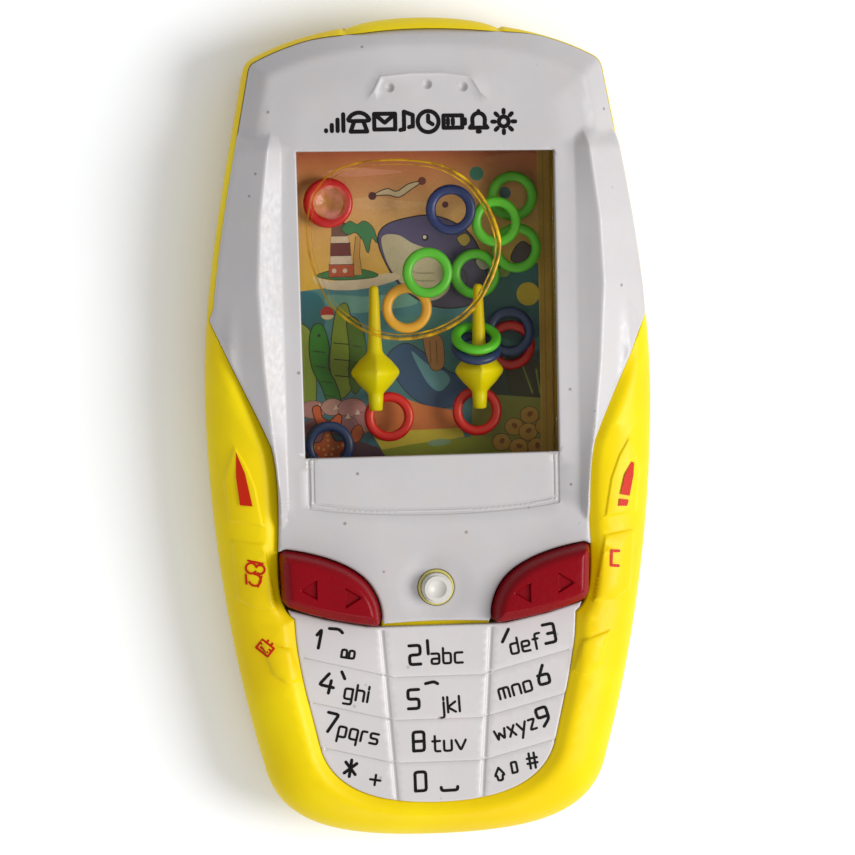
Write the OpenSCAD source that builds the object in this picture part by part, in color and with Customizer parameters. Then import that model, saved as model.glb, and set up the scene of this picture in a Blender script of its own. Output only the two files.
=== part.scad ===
// Hand-held water ring-toss game in the shape of a mobile phone, lying on its back.
// +X is the phone's right, +Y its top edge, +Z out of the screen. The back rests on z = 0.
// Two red buttons squeeze rubber bellows, which jet water through a sealed tank and
// throw the loose rings up towards two pegs.

/* [Case] */
// Length of the case, from its bottom edge to its top edge
case_l = 148; // [146:0.5:152]
// Width of the case at its widest
case_w = 80.8; // [80.4:0.4:83.6]
// Height of the seam between the two yellow shells
seam_z = 9.4; // [9:0.1:10]
// Wall thickness of the yellow shells
shell_wall = 1.8; // [1.4:0.1:2]

/* [Window] */
// Width of the window
window_w = 45.4; // [44:0.2:46]
// Top edge of the window, above the case's middle
window_top = 49.5; // [49:0.1:50]
// Bottom edge of the window, below the case's middle
window_bottom = -5.2; // [-6:0.1:-5]

/* [Buttons] */
// Height of the buttons' tops above the back
button_top = 22; // [21.4:0.1:22.6]
// Travel that the skirts leave free over the bellows clamps
button_travel = 3; // [2.8:0.1:3.2]
// Gap around each button
button_gap = 0.4; // [0.3:0.05:0.6]
// Distance of each bellows from the middle line
bellows_x = 18.3; // [17.9:0.1:18.3]

/* [Keypad] */
// Height of the key tops above the back
key_top = 17.3; // [17:0.1:17.6]
// Width of the grooves between the keys
groove_w = 0.5; // [0.3:0.1:0.8]
// Slope of the outer key rows
key_slope = 0.25; // [0.1:0.05:0.3]

/* [Rings and pegs] */
// Radius of a ring's centre line
ring_r = 3.8; // [3.7:0.05:3.8]
// Radius of a ring's round section
ring_t = 0.75; // [0.6:0.05:0.75]
// Distance of each peg from the middle line
peg_x = 9.5; // [9.3:0.1:9.5]
// Length of a peg's bare stem
peg_stem = 12; // [9:0.5:13]

/* [Hidden] */
$fn = 64;
eps = 0.02;

yellow = "#e6d400";
white = "#d9d6dc";
red = "#b01020";
amber = [0.85, 0.65, 0.1, 0.35];

// Heights of the layers, from the back to the screen.
floor_t = 1.6;
card_z = 1.9;
card_t = 0.4;
tank_z = 2.5;
tank_floor_z = 3.6;
deck_z = 7;
deck_t = 1.2;
ledge_z = 12.6;
ledge_t = 1.6;
lid_z = 14.8;
lid_top = 16.2;
lens_z = 16.1;
lens_top = 17.7;
cover_z = 18.2;
cover_under = 16.4;
well_z = 14.6;

// Plan of the tank, and the step between its picture part and its pump part.
tank_hw = 25.2;
tank_wall = 1.2;
tank_top = 52.5;
tank_step = -15;
tank_bottom = -35.2;

// The neck that the filler plug closes.
filler_y = -28.2;
neck_r = 3.1;
neck_bore = 2.3;
neck_top = 17.3;
plug_fit = 0.05;

// The buttons' outlines, how far their flanges reach under the cover, and their skirts.
button_centre = [-18.3, -28.8];
button_half = [9.2, 6.9];
button_bevel = 1.5;
flange = 0.9;
clamp_z = 9.2;
clamp_t = 1.2;
skirt_z = clamp_z + clamp_t + 1.3 + button_travel;

// The bellows that they press, and the two water jets.
bellows_y = -28.2;
bellows_top = 14;
plunger_r = 2.6;
nozzle_x = 11.6;
nozzle_z = 5.2;
nozzle_r = 1.3;
jet_r = 0.7;

// The pegs' cones, and the two rings threaded on the right one.
peg_y = 10.3;
peg_z = 9;
cone_r = 4.4;
cone_l = 3.4;
threaded_x = peg_x - 0.6;
threaded_y = peg_y + 4;
threaded_lean = 55;

boss_r = 3.4;
screw_places = [for (s = [-1, 1]) each [[s * 26.8, 58.6], [s * 32, 4], [s * 20.5, -58.5]]];
screw_head_r = 2.6;
screw_core_r = 1.1;

// ---------------------------------------------------------------- curves and outlines

// Scales a nominal point with the case.
function fit(p) = [p.x * case_w / 80.8, p.y * case_l / 148];

// Cubic curve from a to d with n points, leaving out d.
function curve(a, b, c, d, n) =
    [for (i = [0:n - 1]) let (t = i / n, s = 1 - t)
        s * s * s * a + 3 * s * s * t * b + 3 * s * t * t * c + t * t * t * d];

function mirrored(pts) = [for (i = [len(pts) - 1:-1:0]) [-pts[i].x, pts[i].y]];

// Right half of the case, clockwise from the middle of the top edge.
function case_half() = concat(
    curve([0, 73.2], [14, 73.2], [24, 70.6], [31, 66.8], 8),
    curve([31, 66.8], [32, 66.2], [32.4, 65.3], [32.6, 63.8], 3),
    curve([32.6, 63.8], [35.9, 46.3], [40.4, 26], [40.4, 7], 12),
    curve([40.4, 7], [40.4, -16], [36.9, -40.1], [31.3, -60.1], 12),
    curve([31.3, -60.1], [29, -71], [19, -74], [0, -74], 10));

function case_outline() =
    [for (p = concat(case_half(), [[0, -74]], [for (q = mirrored(case_half())) if (q.x < 0) q]))
        fit(p)];

// An outline drawn in towards a centre, so that it lies about d inside. half is the
// outline's half width and half height.
function drawn_in(pts, centre, half, d) =
    [for (p = pts) centre + [(p.x - centre.x) * (1 - d / half.x),
                             (p.y - centre.y) * (1 - d / half.y)]];

function case_inside(d) = drawn_in(case_outline(), [0, 0], [case_w / 2, case_l / 2], d);

// Inner edge of the yellow frame, as a right half, from the side of the case down to the
// bottom of the keypad. Grown outwards by g.
function frame_edge(g) = [for (p = concat(
    curve([39.4, 20.4], [35.4, 11], [31.4, 3.6], [29, -2.3], 6),
    curve([29, -2.3], [27.8, -7], [27.8, -14], [28.2, -21], 5),
    curve([28.2, -21], [28.4, -27], [27.4, -32.2], [25.2, -33.4], 5),
    curve([25.2, -33.4], [24.6, -44], [21, -53], [19.4, -57.2], 6),
    curve([19.4, -57.2], [17, -63.4], [11, -67.4], [0, -67.4], 7)))
    fit(p) + [g, p.y < -60 ? -g * 0.8 : 0]];

// The fascia's plan: the case's own edge above, the frame's edge below.
function cover_half(g) = concat(
    [for (p = case_inside(0.9 - g)) if (p.x >= 0 && p.y > 21) p],
    [for (p = frame_edge(g)) if (p.y > -33) p],
    [[25.2 + g, -33.2 - g], [9.2, -34.6 - g]]);

module cover_plan(g = 0) { polygon(concat(cover_half(g), mirrored(cover_half(g)))); }

// The keypad's plan: a slanted top edge under each button, then the frame's edge.
function keypad_half(g) = concat(
    [[9, -36.1 + g], [24.7 + g, -33.7 + g]],
    [for (p = frame_edge(g - 0.4)) if (p.y < -34) p],
    [[0, -67.2 - g]]);

// The low bar that shows between the buttons and the keypad.
function gap_half() = [[9, -34], [25, -32.8], [25.4, -34.4], [9, -36.8]];

module keypad_plan(g = 0) { polygon(concat(keypad_half(g), mirrored(keypad_half(g)))); }

// Plan of the left button: straight outer end, full nose towards the middle.
function button_outline() = concat(
    curve([-27.4, -23.2], [-27.4, -22.2], [-27, -21.9], [-26, -21.9], 4),
    curve([-26, -21.9], [-19, -23], [-13.6, -25.2], [-11.2, -28.4], 8),
    curve([-11.2, -28.4], [-9.6, -30.6], [-8.9, -33], [-9.1, -34.8], 6),
    curve([-9.1, -34.8], [-9.3, -35.7], [-10.2, -35.6], [-11.6, -35.3], 4),
    curve([-11.6, -35.3], [-17, -34.5], [-22, -33.4], [-26.2, -31.6], 6),
    [[-27.1, -30.6]]);

function button_inside(d) = drawn_in(button_outline(), button_centre, button_half, d);

// ---------------------------------------------------------------- building blocks

// Closed skin through a stack of outlines that have the same number of points, each
// clockwise seen from above, from the lowest to the highest.
module loft(rings, heights) {
    n = len(rings[0]);
    last = len(rings) - 1;
    polyhedron(
        points = [for (k = [0:last]) each [for (p = rings[k]) [p.x, p.y, heights[k]]]],
        faces = concat(
            [[for (i = [n - 1:-1:0]) i]],
            [for (k = [0:last - 1]) each [for (i = [0:n - 1]) each
                let (a = k * n + i, b = k * n + (i + 1) % n)
                    [[a, b + n, a + n], [a, b, b + n]]]],
            [[for (i = [0:n - 1]) last * n + i]]),
        convexity = 4);
}

// Rounded form of the case through [inset, height] levels.
module pillow(levels) {
    loft([for (l = levels) case_inside(l[0])], [for (l = levels) l[1]]);
}

module yellow_crown(rise = 0) {
    pillow([[0, seam_z], [0, 12.4 + rise], [0.8, 14.2 + rise], [2.6, 16 + rise],
            [6, 17.5 + rise], [11, cover_z + rise]]);
}

// A prism of the case's outline, d inside it.
module prism(d, z0, z1) {
    translate([0, 0, z0]) linear_extrude(z1 - z0) polygon(case_inside(d));
}

module block(x0, x1, y0, y1, z0, z1) { translate([x0, y0, z0]) cube([x1 - x0, y1 - y0, z1 - z0]); }

module rod(x, y, z0, z1, r) { translate([x, y, z0]) cylinder(h = z1 - z0, r = r); }

module screw_cores(z0, z1, r) { for (p = screw_places) rod(p.x, p.y, z0, z1, r); }

// The low swelling in the middle of the top edge.
module brow(z0, z1) {
    translate([0, 0, z0]) linear_extrude(z1 - z0)
        polygon(concat([for (p = curve([-15, 71.6], [-12.6, 74.8], [12, 74.8], [14.4, 71.6], 12)) fit(p)],
                       [fit([14.4, 71.6])]));
}

// ---------------------------------------------------------------- case

module rear_cover() {
    color(yellow) difference() {
        union() {
            difference() {
                union() {
                    pillow([[3.2, 0], [1.4, 0.9], [0.4, 2.4], [0, 4.2], [0, seam_z - 0.15]]);
                    brow(3, seam_z - 0.15);
                }
                prism(shell_wall, 4.5, seam_z);
                prism(4, floor_t, 4.6);
            }
            screw_cores(1, seam_z - 0.15, boss_r);
        }
        screw_cores(-1, 3.2, screw_head_r + 0.4);
        screw_cores(0, seam_z, screw_core_r + 0.4);
        // Fake battery door: a shallow groove in the back.
        difference() {
            block(-21, 21, -46, 22, -1, 0.4);
            block(-20.2, 20.2, -45.2, 21.2, -2, 1);
        }
        for (i = [0:4]) block(-7, 7, 13 - 1.8 * i, 13.8 - 1.8 * i, -1, 0.5);
    }
}

module frame_pads() {
    for (s = [-1, 1]) {
        translate([0, 0, 12]) linear_extrude(8) {
            polygon([[s * 33.4, -4], [s * 36.4, -5], [s * 36.2, -16], [s * 30.4, -16.6]]);
            polygon([[s * 31, -20.4], [s * 36.2, -19.6], [s * 35, -31], [s * 31, -29.4]]);
            polygon([[s * 29.4, -36.4], [s * 33.6, -35.4], [s * 29.2, -46.4], [s * 27, -44]]);
        }
    }
}

module front_frame() {
    color(yellow) difference() {
        union() {
            difference() {
                union() {
                    yellow_crown();
                    brow(seam_z, 12.4);
                    intersection() { yellow_crown(0.45); frame_pads(); }
                }
                // Seats of the white parts.
                translate([0, 0, ledge_z]) linear_extrude(10) cover_plan(0.25);
                translate([0, 0, well_z]) linear_extrude(10) keypad_plan(0.35);
                translate([0, 0, well_z]) linear_extrude(10)
                    polygon(concat(gap_half(), mirrored(gap_half())));
                // Hollow inside, low under the white parts and high under the yellow sides.
                prism(shell_wall, 0, ledge_z - ledge_t);
                linear_extrude(well_z - ledge_t) keypad_plan(-2);
                difference() {
                    pillow([[shell_wall, seam_z - 1], [shell_wall, 12], [4.4, 15], [9, 16.2],
                            [11, 16.4]]);
                    translate([0, 0, 1]) linear_extrude(20) {
                        cover_plan(1.8);
                        keypad_plan(1.8);
                    }
                }
            }
            screw_cores(seam_z, ledge_z - 0.5, boss_r - 0.2);
        }
        screw_cores(seam_z - 1, ledge_z - 1.2, screw_core_r);
        // Openings for the tank, the buttons and their skirts.
        block(-tank_hw - 0.3, tank_hw + 0.3, tank_bottom - 0.2, tank_top + 0.3, 0, 20);
        for (s = [0, 1]) mirror([s, 0, 0]) linear_extrude(well_z + 1) {
            polygon(button_inside(-0.45));
            translate([flange, flange]) polygon(button_inside(-0.45));
        }
    }
}

// One of the two ridges beside the window.
module rail(s) {
    hull() for (p = [[25.6, -24, 17], [25.6, 50, 17], [27, 57, 17], [28.2, -24, 17.9],
                     [29.1, -14, 19.7], [29.4, 0, 20.2], [29.4, 46, 20.2], [31.8, 46, 16.8],
                     [36.8, 20, 15.6], [37.6, 12, 15]])
        translate([s * p.x, p.y, p.z]) cube(eps);
}

module front_cover() {
    color(white) difference() {
        intersection() {
            union() {
                pillow([[0.9, ledge_z], [0.9, 13.8], [2.2, 15.2], [4.6, 16.8], [8, 17.9],
                        [11, cover_z]]);
                rail(-1);
                rail(1);
            }
            translate([0, 0, ledge_z]) linear_extrude(10) cover_plan();
        }
        pillow([[2.8, ledge_z - 1], [2.8, 13], [6.4, 15.6], [10, cover_under - 0.1],
                [11, cover_under]]);
        // Notches for the buttons, open towards the keypad.
        for (s = [0, 1]) mirror([s, 0, 0]) translate([0, 0, 10]) linear_extrude(12) {
            polygon(button_inside(-button_gap));
            polygon([[-26, -21.5], [-30, -21.5], [-30, -40], [-9, -40], [-9, -34.4]]);
        }
        block(-window_w / 2, window_w / 2, window_bottom, window_top, 10, 22);
        // Stepped panel under the window.
        difference() {
            block(-22.7, 22.7, -15.6, window_bottom, cover_z - 0.35, 22);
            block(-22, 22, -14.9, window_bottom + 1, 10, 23);
        }
        // Filler hole in its shallow dish.
        translate([0, filler_y, cover_z + 28]) sphere(r = 28.7, $fn = 160);
        rod(0, filler_y, 10, 22, neck_r + 0.35);
        for (i = [-1:1]) rod(i * 6.8, 61.5, cover_z - 0.9, 22, 0.7);
    }
    // Bracket line over the earpiece.
    color(white) translate([0, 63.3, cover_z - 0.4]) {
        block(-7.4, 7.4, 0, 0.5, 0, 0.65);
        for (s = [0, 1]) mirror([s, 0, 0]) linear_extrude(0.65)
            polygon([[-7.4, 0.5], [-9.2, -2.6], [-8.6, -2.6], [-7, 0]]);
    }
}

// ---------------------------------------------------------------- keypad

// Line between key rows k and k + 1, and the line beside the middle column.
function row_y(k, x) = -36.2 - 7.9 * k + key_slope * max(0, abs(x) - 8);
function column_x(y) = 9.2 + (y + 36) * 0.075;

// Plan of the key in column c (-1, 0, 1) and row k (0 to 3), without its grooves.
module key_cell(c, k) {
    g = groove_w / 2;
    top = k == 0 ? 4 : -g;
    x0 = c == 0 ? -column_x(row_y(k, 0)) + g : column_x(row_y(k, 8)) + g;
    x1 = c == 0 ? -x0 : 30;
    xb = c == 0 ? -column_x(row_y(k + 1, 0)) + g : column_x(row_y(k + 1, 8)) + g;
    m = c < 0 ? -1 : 1;
    y_in = row_y(k, 8) + top;
    y_out = row_y(k, x1) + top;
    b_in = (k == 3 ? -70 : row_y(k + 1, 8) + g);
    b_out = (k == 3 ? -70 : row_y(k + 1, x1) + g);
    polygon(c == 0 ? [[x0, y_in], [-x0, y_in], [-xb, b_in], [xb, b_in]]
                   : [[m * x0, y_in], [m * x1, y_out], [m * x1, b_out], [m * xb, b_in]]);
}

module keypad_plate() {
    color(white) {
        translate([0, 0, well_z]) linear_extrude(key_top - 0.7 - well_z) keypad_plan();
        translate([0, 0, key_top - 0.7 - eps]) linear_extrude(0.7 + eps)
            for (c = [-1:1], k = [0:3]) intersection() {
                keypad_plan(-0.3);
                key_cell(c, k);
            }
    }
}

// ---------------------------------------------------------------- buttons and pumps

module button() {
    bevel_z = button_top - button_bevel;
    color(red) difference() {
        union() {
            translate([0, 0, skirt_z]) linear_extrude(bevel_z - skirt_z)
                polygon(button_outline());
            hull() {
                translate([0, 0, bevel_z - eps]) linear_extrude(eps)
                    polygon(button_outline());
                translate([0, 0, button_top - eps]) linear_extrude(eps)
                    polygon(button_inside(1.3));
            }
            // Flange that keeps the button under the cover.
            translate([flange, flange, skirt_z]) linear_extrude(1.4) polygon(button_outline());
        }
        translate([0, 0, skirt_z - 1]) linear_extrude(button_top - 3.2 - skirt_z)
            polygon(button_inside(1.5));
        // Recessed arrows.
        for (s = [-1, 1])
            translate([button_centre.x + s * 3.7 - 0.1, button_centre.y - s * 0.8 - 0.4, button_top - 0.5])
                linear_extrude(1) polygon([[s * 1.9, 0], [-s * 1.3, 1.7], [-s * 1.3, -1.7]]);
    }
    color(red) rod(-bellows_x, bellows_y, bellows_top + 0.05, button_top - 3, plunger_r);
}

module left_button() { button(); }
module right_button() { mirror([1, 0, 0]) button(); }

// Rubber bellows with a flat lip, one fold and a thick top.
module bellows(x) {
    color("#3a3a40") translate([x, bellows_y, 0]) rotate_extrude()
        polygon([[4.4, deck_z + deck_t], [6.6, deck_z + deck_t], [6.6, clamp_z], [5.3, clamp_z],
                 [5.3, 10.4], [4.1, 11.3], [4.9, 12.3], [3.6, bellows_top], [0, bellows_top],
                 [0, 13], [3, 13], [3.9, 12.2], [3.1, 11.3], [4.4, 10.2]]);
}

module bellows_clamp(x) {
    color(yellow) translate([x, bellows_y, clamp_z]) difference() {
        cylinder(h = clamp_t, r = 6.8);
        translate([0, 0, -1]) cylinder(h = 4, r = 5.5);
    }
}

module left_bellows() { bellows(-bellows_x); }
module right_bellows() { bellows(bellows_x); }
module left_bellows_clamp() { bellows_clamp(-bellows_x); }
module right_bellows_clamp() { bellows_clamp(bellows_x); }

module pump_deck() {
    color(amber) difference() {
        union() {
            block(-tank_hw, tank_hw, tank_bottom, tank_step, deck_z, deck_z + deck_t);
            rod(0, filler_y, deck_z, neck_top, neck_r);
        }
        rod(0, filler_y, 0, 30, neck_bore);
        for (s = [-1, 1]) rod(s * bellows_x, bellows_y, 0, 30, 4.2);
    }
}

module filler_plug() {
    color("white") {
        rod(0, filler_y, 11, neck_top + 0.1, neck_bore - plug_fit);
        difference() {
            union() {
                rod(0, filler_y, neck_top + 0.05, 19.8, 2.7);
                rod(0, filler_y, 19.8 - eps, 20.5, 2.3);
            }
            translate([0, filler_y, 20.5 + 1.6]) sphere(r = 2.3);
        }
    }
}

module jet_nozzles() {
    y = tank_step - 2.2;
    color("white") difference() {
        union() {
            block(-14, 14, y, y + 1.4, tank_floor_z + 0.2, 6.8);
            for (s = [-1, 1]) translate([s * nozzle_x, y + 0.5, nozzle_z]) rotate([-90, 0, 0])
                cylinder(h = 8, r = nozzle_r);
        }
        for (s = [-1, 1]) translate([s * nozzle_x, y - 1, nozzle_z]) rotate([-90, 0, 0])
            cylinder(h = 12, r = jet_r);
    }
}

// ---------------------------------------------------------------- tank

module tank_body() {
    w = tank_wall;
    color(amber) difference() {
        union() {
            block(-tank_hw, tank_hw, tank_step, tank_top, tank_z, lid_z);
            block(-tank_hw, tank_hw, tank_bottom, tank_step + w, tank_z, deck_z);
        }
        block(-tank_hw + w, tank_hw - w, tank_step + w, tank_top - w, tank_floor_z, 30);
        block(-tank_hw + w, tank_hw - w, tank_bottom + w, tank_step, tank_floor_z, 30);
        for (s = [-1, 1]) translate([s * nozzle_x, tank_step - 1, nozzle_z]) rotate([-90, 0, 0])
            cylinder(h = 4, r = nozzle_r + 0.05);
    }
}

module tank_window() {
    hw = window_w / 2 - 0.15;
    y0 = window_bottom + 0.15;
    y1 = window_top - 0.15;
    color(amber) difference() {
        union() {
            block(-tank_hw, tank_hw, tank_step, tank_top, lid_z, lid_top);
            block(-hw, hw, y0, y1, lid_z, lens_top);
        }
        block(-hw + 1.2, hw - 1.2, y0 + 1.2, y1 - 1.2, 0, lens_z);
    }
}

module picture_card() {
    color("#4a9fb0") block(-24, 24, -10, 51.8, card_z, card_z + card_t);
}

// Stem, cup-shaped cone and tail, turned on one axis, on a foot at the tank's floor.
module peg(x) {
    color("#f0e000") {
        translate([x, peg_y, peg_z]) rotate([-90, 0, 0]) rotate_extrude()
            polygon([[0, -7], [1.2, -7], [1.4, -0.3 - cone_l], [cone_r, -0.3], [cone_r, 0.3],
                     [1.15, 0.3 + cone_l], [0.9, cone_l + peg_stem - 0.3],
                     [0.5, cone_l + peg_stem + 0.3], [0, cone_l + peg_stem + 0.3]]);
        rod(x, peg_y, tank_floor_z, peg_z, 1.5);
    }
}

module left_peg() { peg(-peg_x); }
module right_peg() { peg(peg_x); }

// ---------------------------------------------------------------- rings

// Height of a flat ring in layer n, counted from the tank's floor.
function layer(n) = tank_floor_z + 0.1 + ring_t + (n - 1) * (2 * ring_t + 0.1);

// Every ring: name, centre, lean of its axis towards +Y, colour.
// The two leaning ones are threaded on the right peg.
function rings() = [
    ["navy_ring_upper", [4.6, 39.5, layer(5)], 0, "navy"],
    ["green_ring_corner", [16.7, 41.9, layer(1)], 0, "limegreen"],
    ["green_ring_upper", [13, 37.2, layer(4)], 0, "limegreen"],
    ["green_ring_right", [17.1, 32.4, layer(2)], 0, "limegreen"],
    ["green_ring_middle", [0, 28.2, layer(6)], 0, "limegreen"],
    ["green_ring_peg_tip", [9.6, 27.8, layer(1)], 0, "limegreen"],
    ["orange_ring", [-3.4, 21.8, layer(3)], 0, "orange"],
    ["navy_ring_right", [15.6, 17.1, layer(2)], 0, "navy"],
    ["red_ring_right", [15.9, 14.6, layer(1)], 0, "red"],
    ["green_ring_on_peg", [threaded_x, threaded_y + 1.9, peg_z + 1.05], threaded_lean, "limegreen"],
    ["navy_ring_on_peg", [threaded_x, threaded_y, peg_z + 1.05], threaded_lean, "navy"],
    ["red_ring_left", [-6.9, 2, layer(2)], 0, "red"],
    ["red_ring_middle", [9.3, 2.7, layer(2)], 0, "red"],
    ["navy_ring_lower", [-17.9, -3.2, layer(1)], 0, "navy"],
    ["red_ring_upper", [-17.2, 41.2, layer(1)], 0, "red"]
];

module ring(r) {
    color(r[3]) translate(r[1]) rotate([-r[2], 0, 0])
        rotate_extrude() translate([ring_r, 0]) circle(r = ring_t, $fn = 24);
}

// ---------------------------------------------------------------- fasteners

// Self-tapping screws from the back, all alike.
module case_screws() {
    color("silver") for (p = screw_places) {
        difference() {
            rod(p.x, p.y, 1.6, 3.2, screw_head_r);
            block(p.x - 1.6, p.x + 1.6, p.y - 0.25, p.y + 0.25, 1, 2.3);
            block(p.x - 0.25, p.x + 0.25, p.y - 1.6, p.y + 1.6, 1, 2.3);
        }
        rod(p.x, p.y, 3, ledge_z - 1.4, screw_core_r - 0.03);
    }
}

rear_cover();
front_frame();
front_cover();
keypad_plate();
left_button();
right_button();
tank_body();
tank_window();
pump_deck();
picture_card();
left_peg();
right_peg();
jet_nozzles();
left_bellows();
right_bellows();
left_bellows_clamp();
right_bellows_clamp();
filler_plug();
case_screws();
for (r = rings()) ring(r);
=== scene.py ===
"""Looks of the hand-held water ring-toss game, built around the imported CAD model.

Plans and heights are in millimetres, in the CAD model's frame: +X the phone's right, +Y its top
edge, +Z out of the screen. Meshes are scaled to metres as they are made. Most shells are plan
solids: a triangulated plan, with one function for the height of its top and one for its underside.
"""

import math

import bpy
import numpy as np
from mathutils import Matrix, Vector
from mathutils.geometry import delaunay_2d_cdt


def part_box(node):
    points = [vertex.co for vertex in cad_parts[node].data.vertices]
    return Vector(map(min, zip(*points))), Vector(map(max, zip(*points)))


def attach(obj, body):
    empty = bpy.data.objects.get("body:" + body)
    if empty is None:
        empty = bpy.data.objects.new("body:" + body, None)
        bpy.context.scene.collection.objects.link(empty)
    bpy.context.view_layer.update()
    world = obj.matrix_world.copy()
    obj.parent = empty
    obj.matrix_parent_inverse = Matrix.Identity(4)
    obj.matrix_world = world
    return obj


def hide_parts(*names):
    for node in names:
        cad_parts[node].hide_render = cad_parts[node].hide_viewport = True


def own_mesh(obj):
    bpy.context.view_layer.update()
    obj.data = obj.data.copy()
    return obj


MM = 0.001
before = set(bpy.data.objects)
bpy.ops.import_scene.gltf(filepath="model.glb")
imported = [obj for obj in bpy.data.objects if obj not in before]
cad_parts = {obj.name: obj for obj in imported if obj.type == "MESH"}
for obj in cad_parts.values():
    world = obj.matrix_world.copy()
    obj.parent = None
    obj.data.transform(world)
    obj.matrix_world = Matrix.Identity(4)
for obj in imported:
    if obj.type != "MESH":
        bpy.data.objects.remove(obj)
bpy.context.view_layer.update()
scene = bpy.context.scene

# Heights: the CAD model's own, then the rear shell's, the white cover's and the yellow crown's.
SEAM_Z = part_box("front_frame")[0].z / MM
LEDGE_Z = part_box("front_cover")[0].z / MM
WELL_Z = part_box("keypad_plate")[0].z / MM
KEY_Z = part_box("keypad_plate")[1].z / MM
BUTTON_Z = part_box("left_button")[1].z / MM
BUTTON_BASE_Z = 14.8
WELL_TOP_Z = LEDGE_Z - 9.4
FLOOR_Z = 1.6
COVER_Z = 18.2
COVER_WALL = 1.8
COVER_EDGE_Z = 17.45
RAIL_RISE = 1.9
RAIL_FOOT = 26.3
CROWN_Z = 12.4
BAR_BASE_Z = 13.0
BAR_Z = 15.3

# Window and filler hole, and the gaps round the buttons and along the yellow frame's opening.
WINDOW_CORNERS = ((-23.0, -4.5), (22.7, -4.3), (22.6, 49.7), (-23.5, 50.0))
FILLER = (0.0, -28.2)
FILLER_R = 3.3
BUTTON_GAP = 0.25
BORDER_GAP = 0.02


# ---------------------------------------------------------------- curves

def cubic(a, b, c, d, step):
    """Points along a cubic curve, about step apart, leaving out its end."""
    a, b, c, d = (np.array(p, float) for p in (a, b, c, d))
    n = max(2, round(np.hypot(*(d - a)) / step))
    t = (np.arange(n) / n)[:, None]
    s = 1 - t
    return s ** 3 * a + 3 * s * s * t * b + 3 * s * t * t * c + t ** 3 * d


def trace(curves, step=0.7):
    """One line through a chain of cubic curves, with its end."""
    return np.vstack([cubic(*c, step) for c in curves] + [[curves[-1][3]]])


def polyline(points, step=0.7):
    """A line of straight stretches, with a point about every step."""
    points = [np.array(p, float) for p in points]
    parts = []
    for a, b in zip(points[:-1], points[1:]):
        n = max(1, round(np.hypot(*(b - a)) / step))
        parts.append(a + (b - a) * (np.arange(n) / n)[:, None])
    return np.vstack(parts + [[points[-1]]])


def closed(line):
    """A line with its first point again at the end."""
    return np.vstack([line, line[:1]])


def mirrored(line):
    """The other side's line, in the opposite order."""
    return np.asarray(line)[::-1] * (-1, 1)


def two_sided(half):
    """A closed outline from its right half, which runs from the top's middle to the bottom's."""
    half = np.asarray(half, float)
    return np.vstack([half, mirrored(half)[1:-1]])


def ring_line(centre, radius, n=40):
    """A closed round outline, without its first point again at the end."""
    angle = np.arange(n) * 2 * math.pi / n
    return np.array(centre) + radius * np.c_[np.cos(angle), np.sin(angle)]


def offset(line, d):
    """A line moved d to its left."""
    run = np.gradient(np.asarray(line, float), axis=0)
    run /= np.hypot(*run.T)[:, None]
    return line + d * np.c_[-run[:, 1], run[:, 0]]


def outwards(loop):
    """Directions out of an anticlockwise outline, at its points."""
    run = np.roll(loop, -1, 0) - np.roll(loop, 1, 0)
    run /= np.hypot(*run.T)[:, None]
    return np.c_[run[:, 1], -run[:, 0]]


def grown(loop, w):
    """An anticlockwise outline drawn out by w."""
    return loop + w * outwards(loop)


def moved(points, x=0.0, y=0.0, turn=0.0, size=1.0):
    """Points scaled, turned by some degrees and moved."""
    c, s = math.cos(math.radians(turn)) * size, math.sin(math.radians(turn)) * size
    p = np.asarray(points, float)
    return np.c_[p[:, 0] * c - p[:, 1] * s + x, p[:, 0] * s + p[:, 1] * c + y]


def gap_to(points, *lines):
    """Distance from each point to the nearest of some open lines."""
    best = np.full(len(points), np.inf)
    for line in lines:
        for a, b in zip(line[:-1], line[1:]):
            run = b - a
            t = np.clip(((points - a) @ run) / max(run @ run, 1e-12), 0, 1)
            best = np.minimum(best, np.hypot(*(points - a - t[:, None] * run).T))
    return best


def within(points, loop):
    """Which points are inside a closed outline."""
    x, y = points.T
    odd = np.zeros(len(points), bool)
    for (ax, ay), (bx, by) in zip(loop, np.roll(loop, -1, 0)):
        if ay != by:
            odd ^= ((ay > y) != (by > y)) & (x < (bx - ax) * (y - ay) / (by - ay) + ax)
    return odd


def in_plan(points, loops):
    """Which points are inside the first outline and outside the holes after it."""
    ok = within(points, loops[0])
    for hole in loops[1:]:
        ok &= ~within(points, hole)
    return ok


def signed_gap(points, loop):
    """Distance to a closed line: above 0 inside it, and below 0 outside."""
    return gap_to(points, loop) * np.where(within(points, loop[:-1]), 1, -1)


def ramp(v, low, high):
    """0 below low, 1 above high, and smooth between them."""
    t = np.clip((v - low) / (high - low), 0, 1)
    return t * t * (3 - 2 * t)


def soft_min(a, b, k):
    """The smaller of two heights, blended where they are within k of each other."""
    h = np.clip(0.5 + 0.5 * (b - a) / k, 0, 1)
    return b + (a - b) * h - k * h * (1 - h)


def soft_max(a, b, k):
    return -soft_min(-a, -b, k)


def fillet(d, r):
    """How far a rounded edge of radius r drops at distance d from the edge."""
    t = np.clip(1 - d / r, 0, 1)
    return r * (1 - np.sqrt(1 - t * t))


# ---------------------------------------------------------------- meshes

SHARP = 38


def add_object(name, verts, faces, material, body="case", sharp=SHARP):
    """A mesh piece from points in millimetres, smooth but for edges sharper than some degrees."""
    mesh = bpy.data.meshes.new(name)
    points = [tuple(v) for v in np.asarray(verts) * MM]
    mesh.from_pydata(points, [], [tuple(int(i) for i in f) for f in faces])
    mesh.validate()
    mesh.shade_smooth()
    mesh.set_sharp_from_angle(angle=math.radians(sharp))
    piece = bpy.data.objects.new(name, mesh)
    scene.collection.objects.link(piece)
    mesh.materials.append(material)
    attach(piece, body)
    return piece


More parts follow.
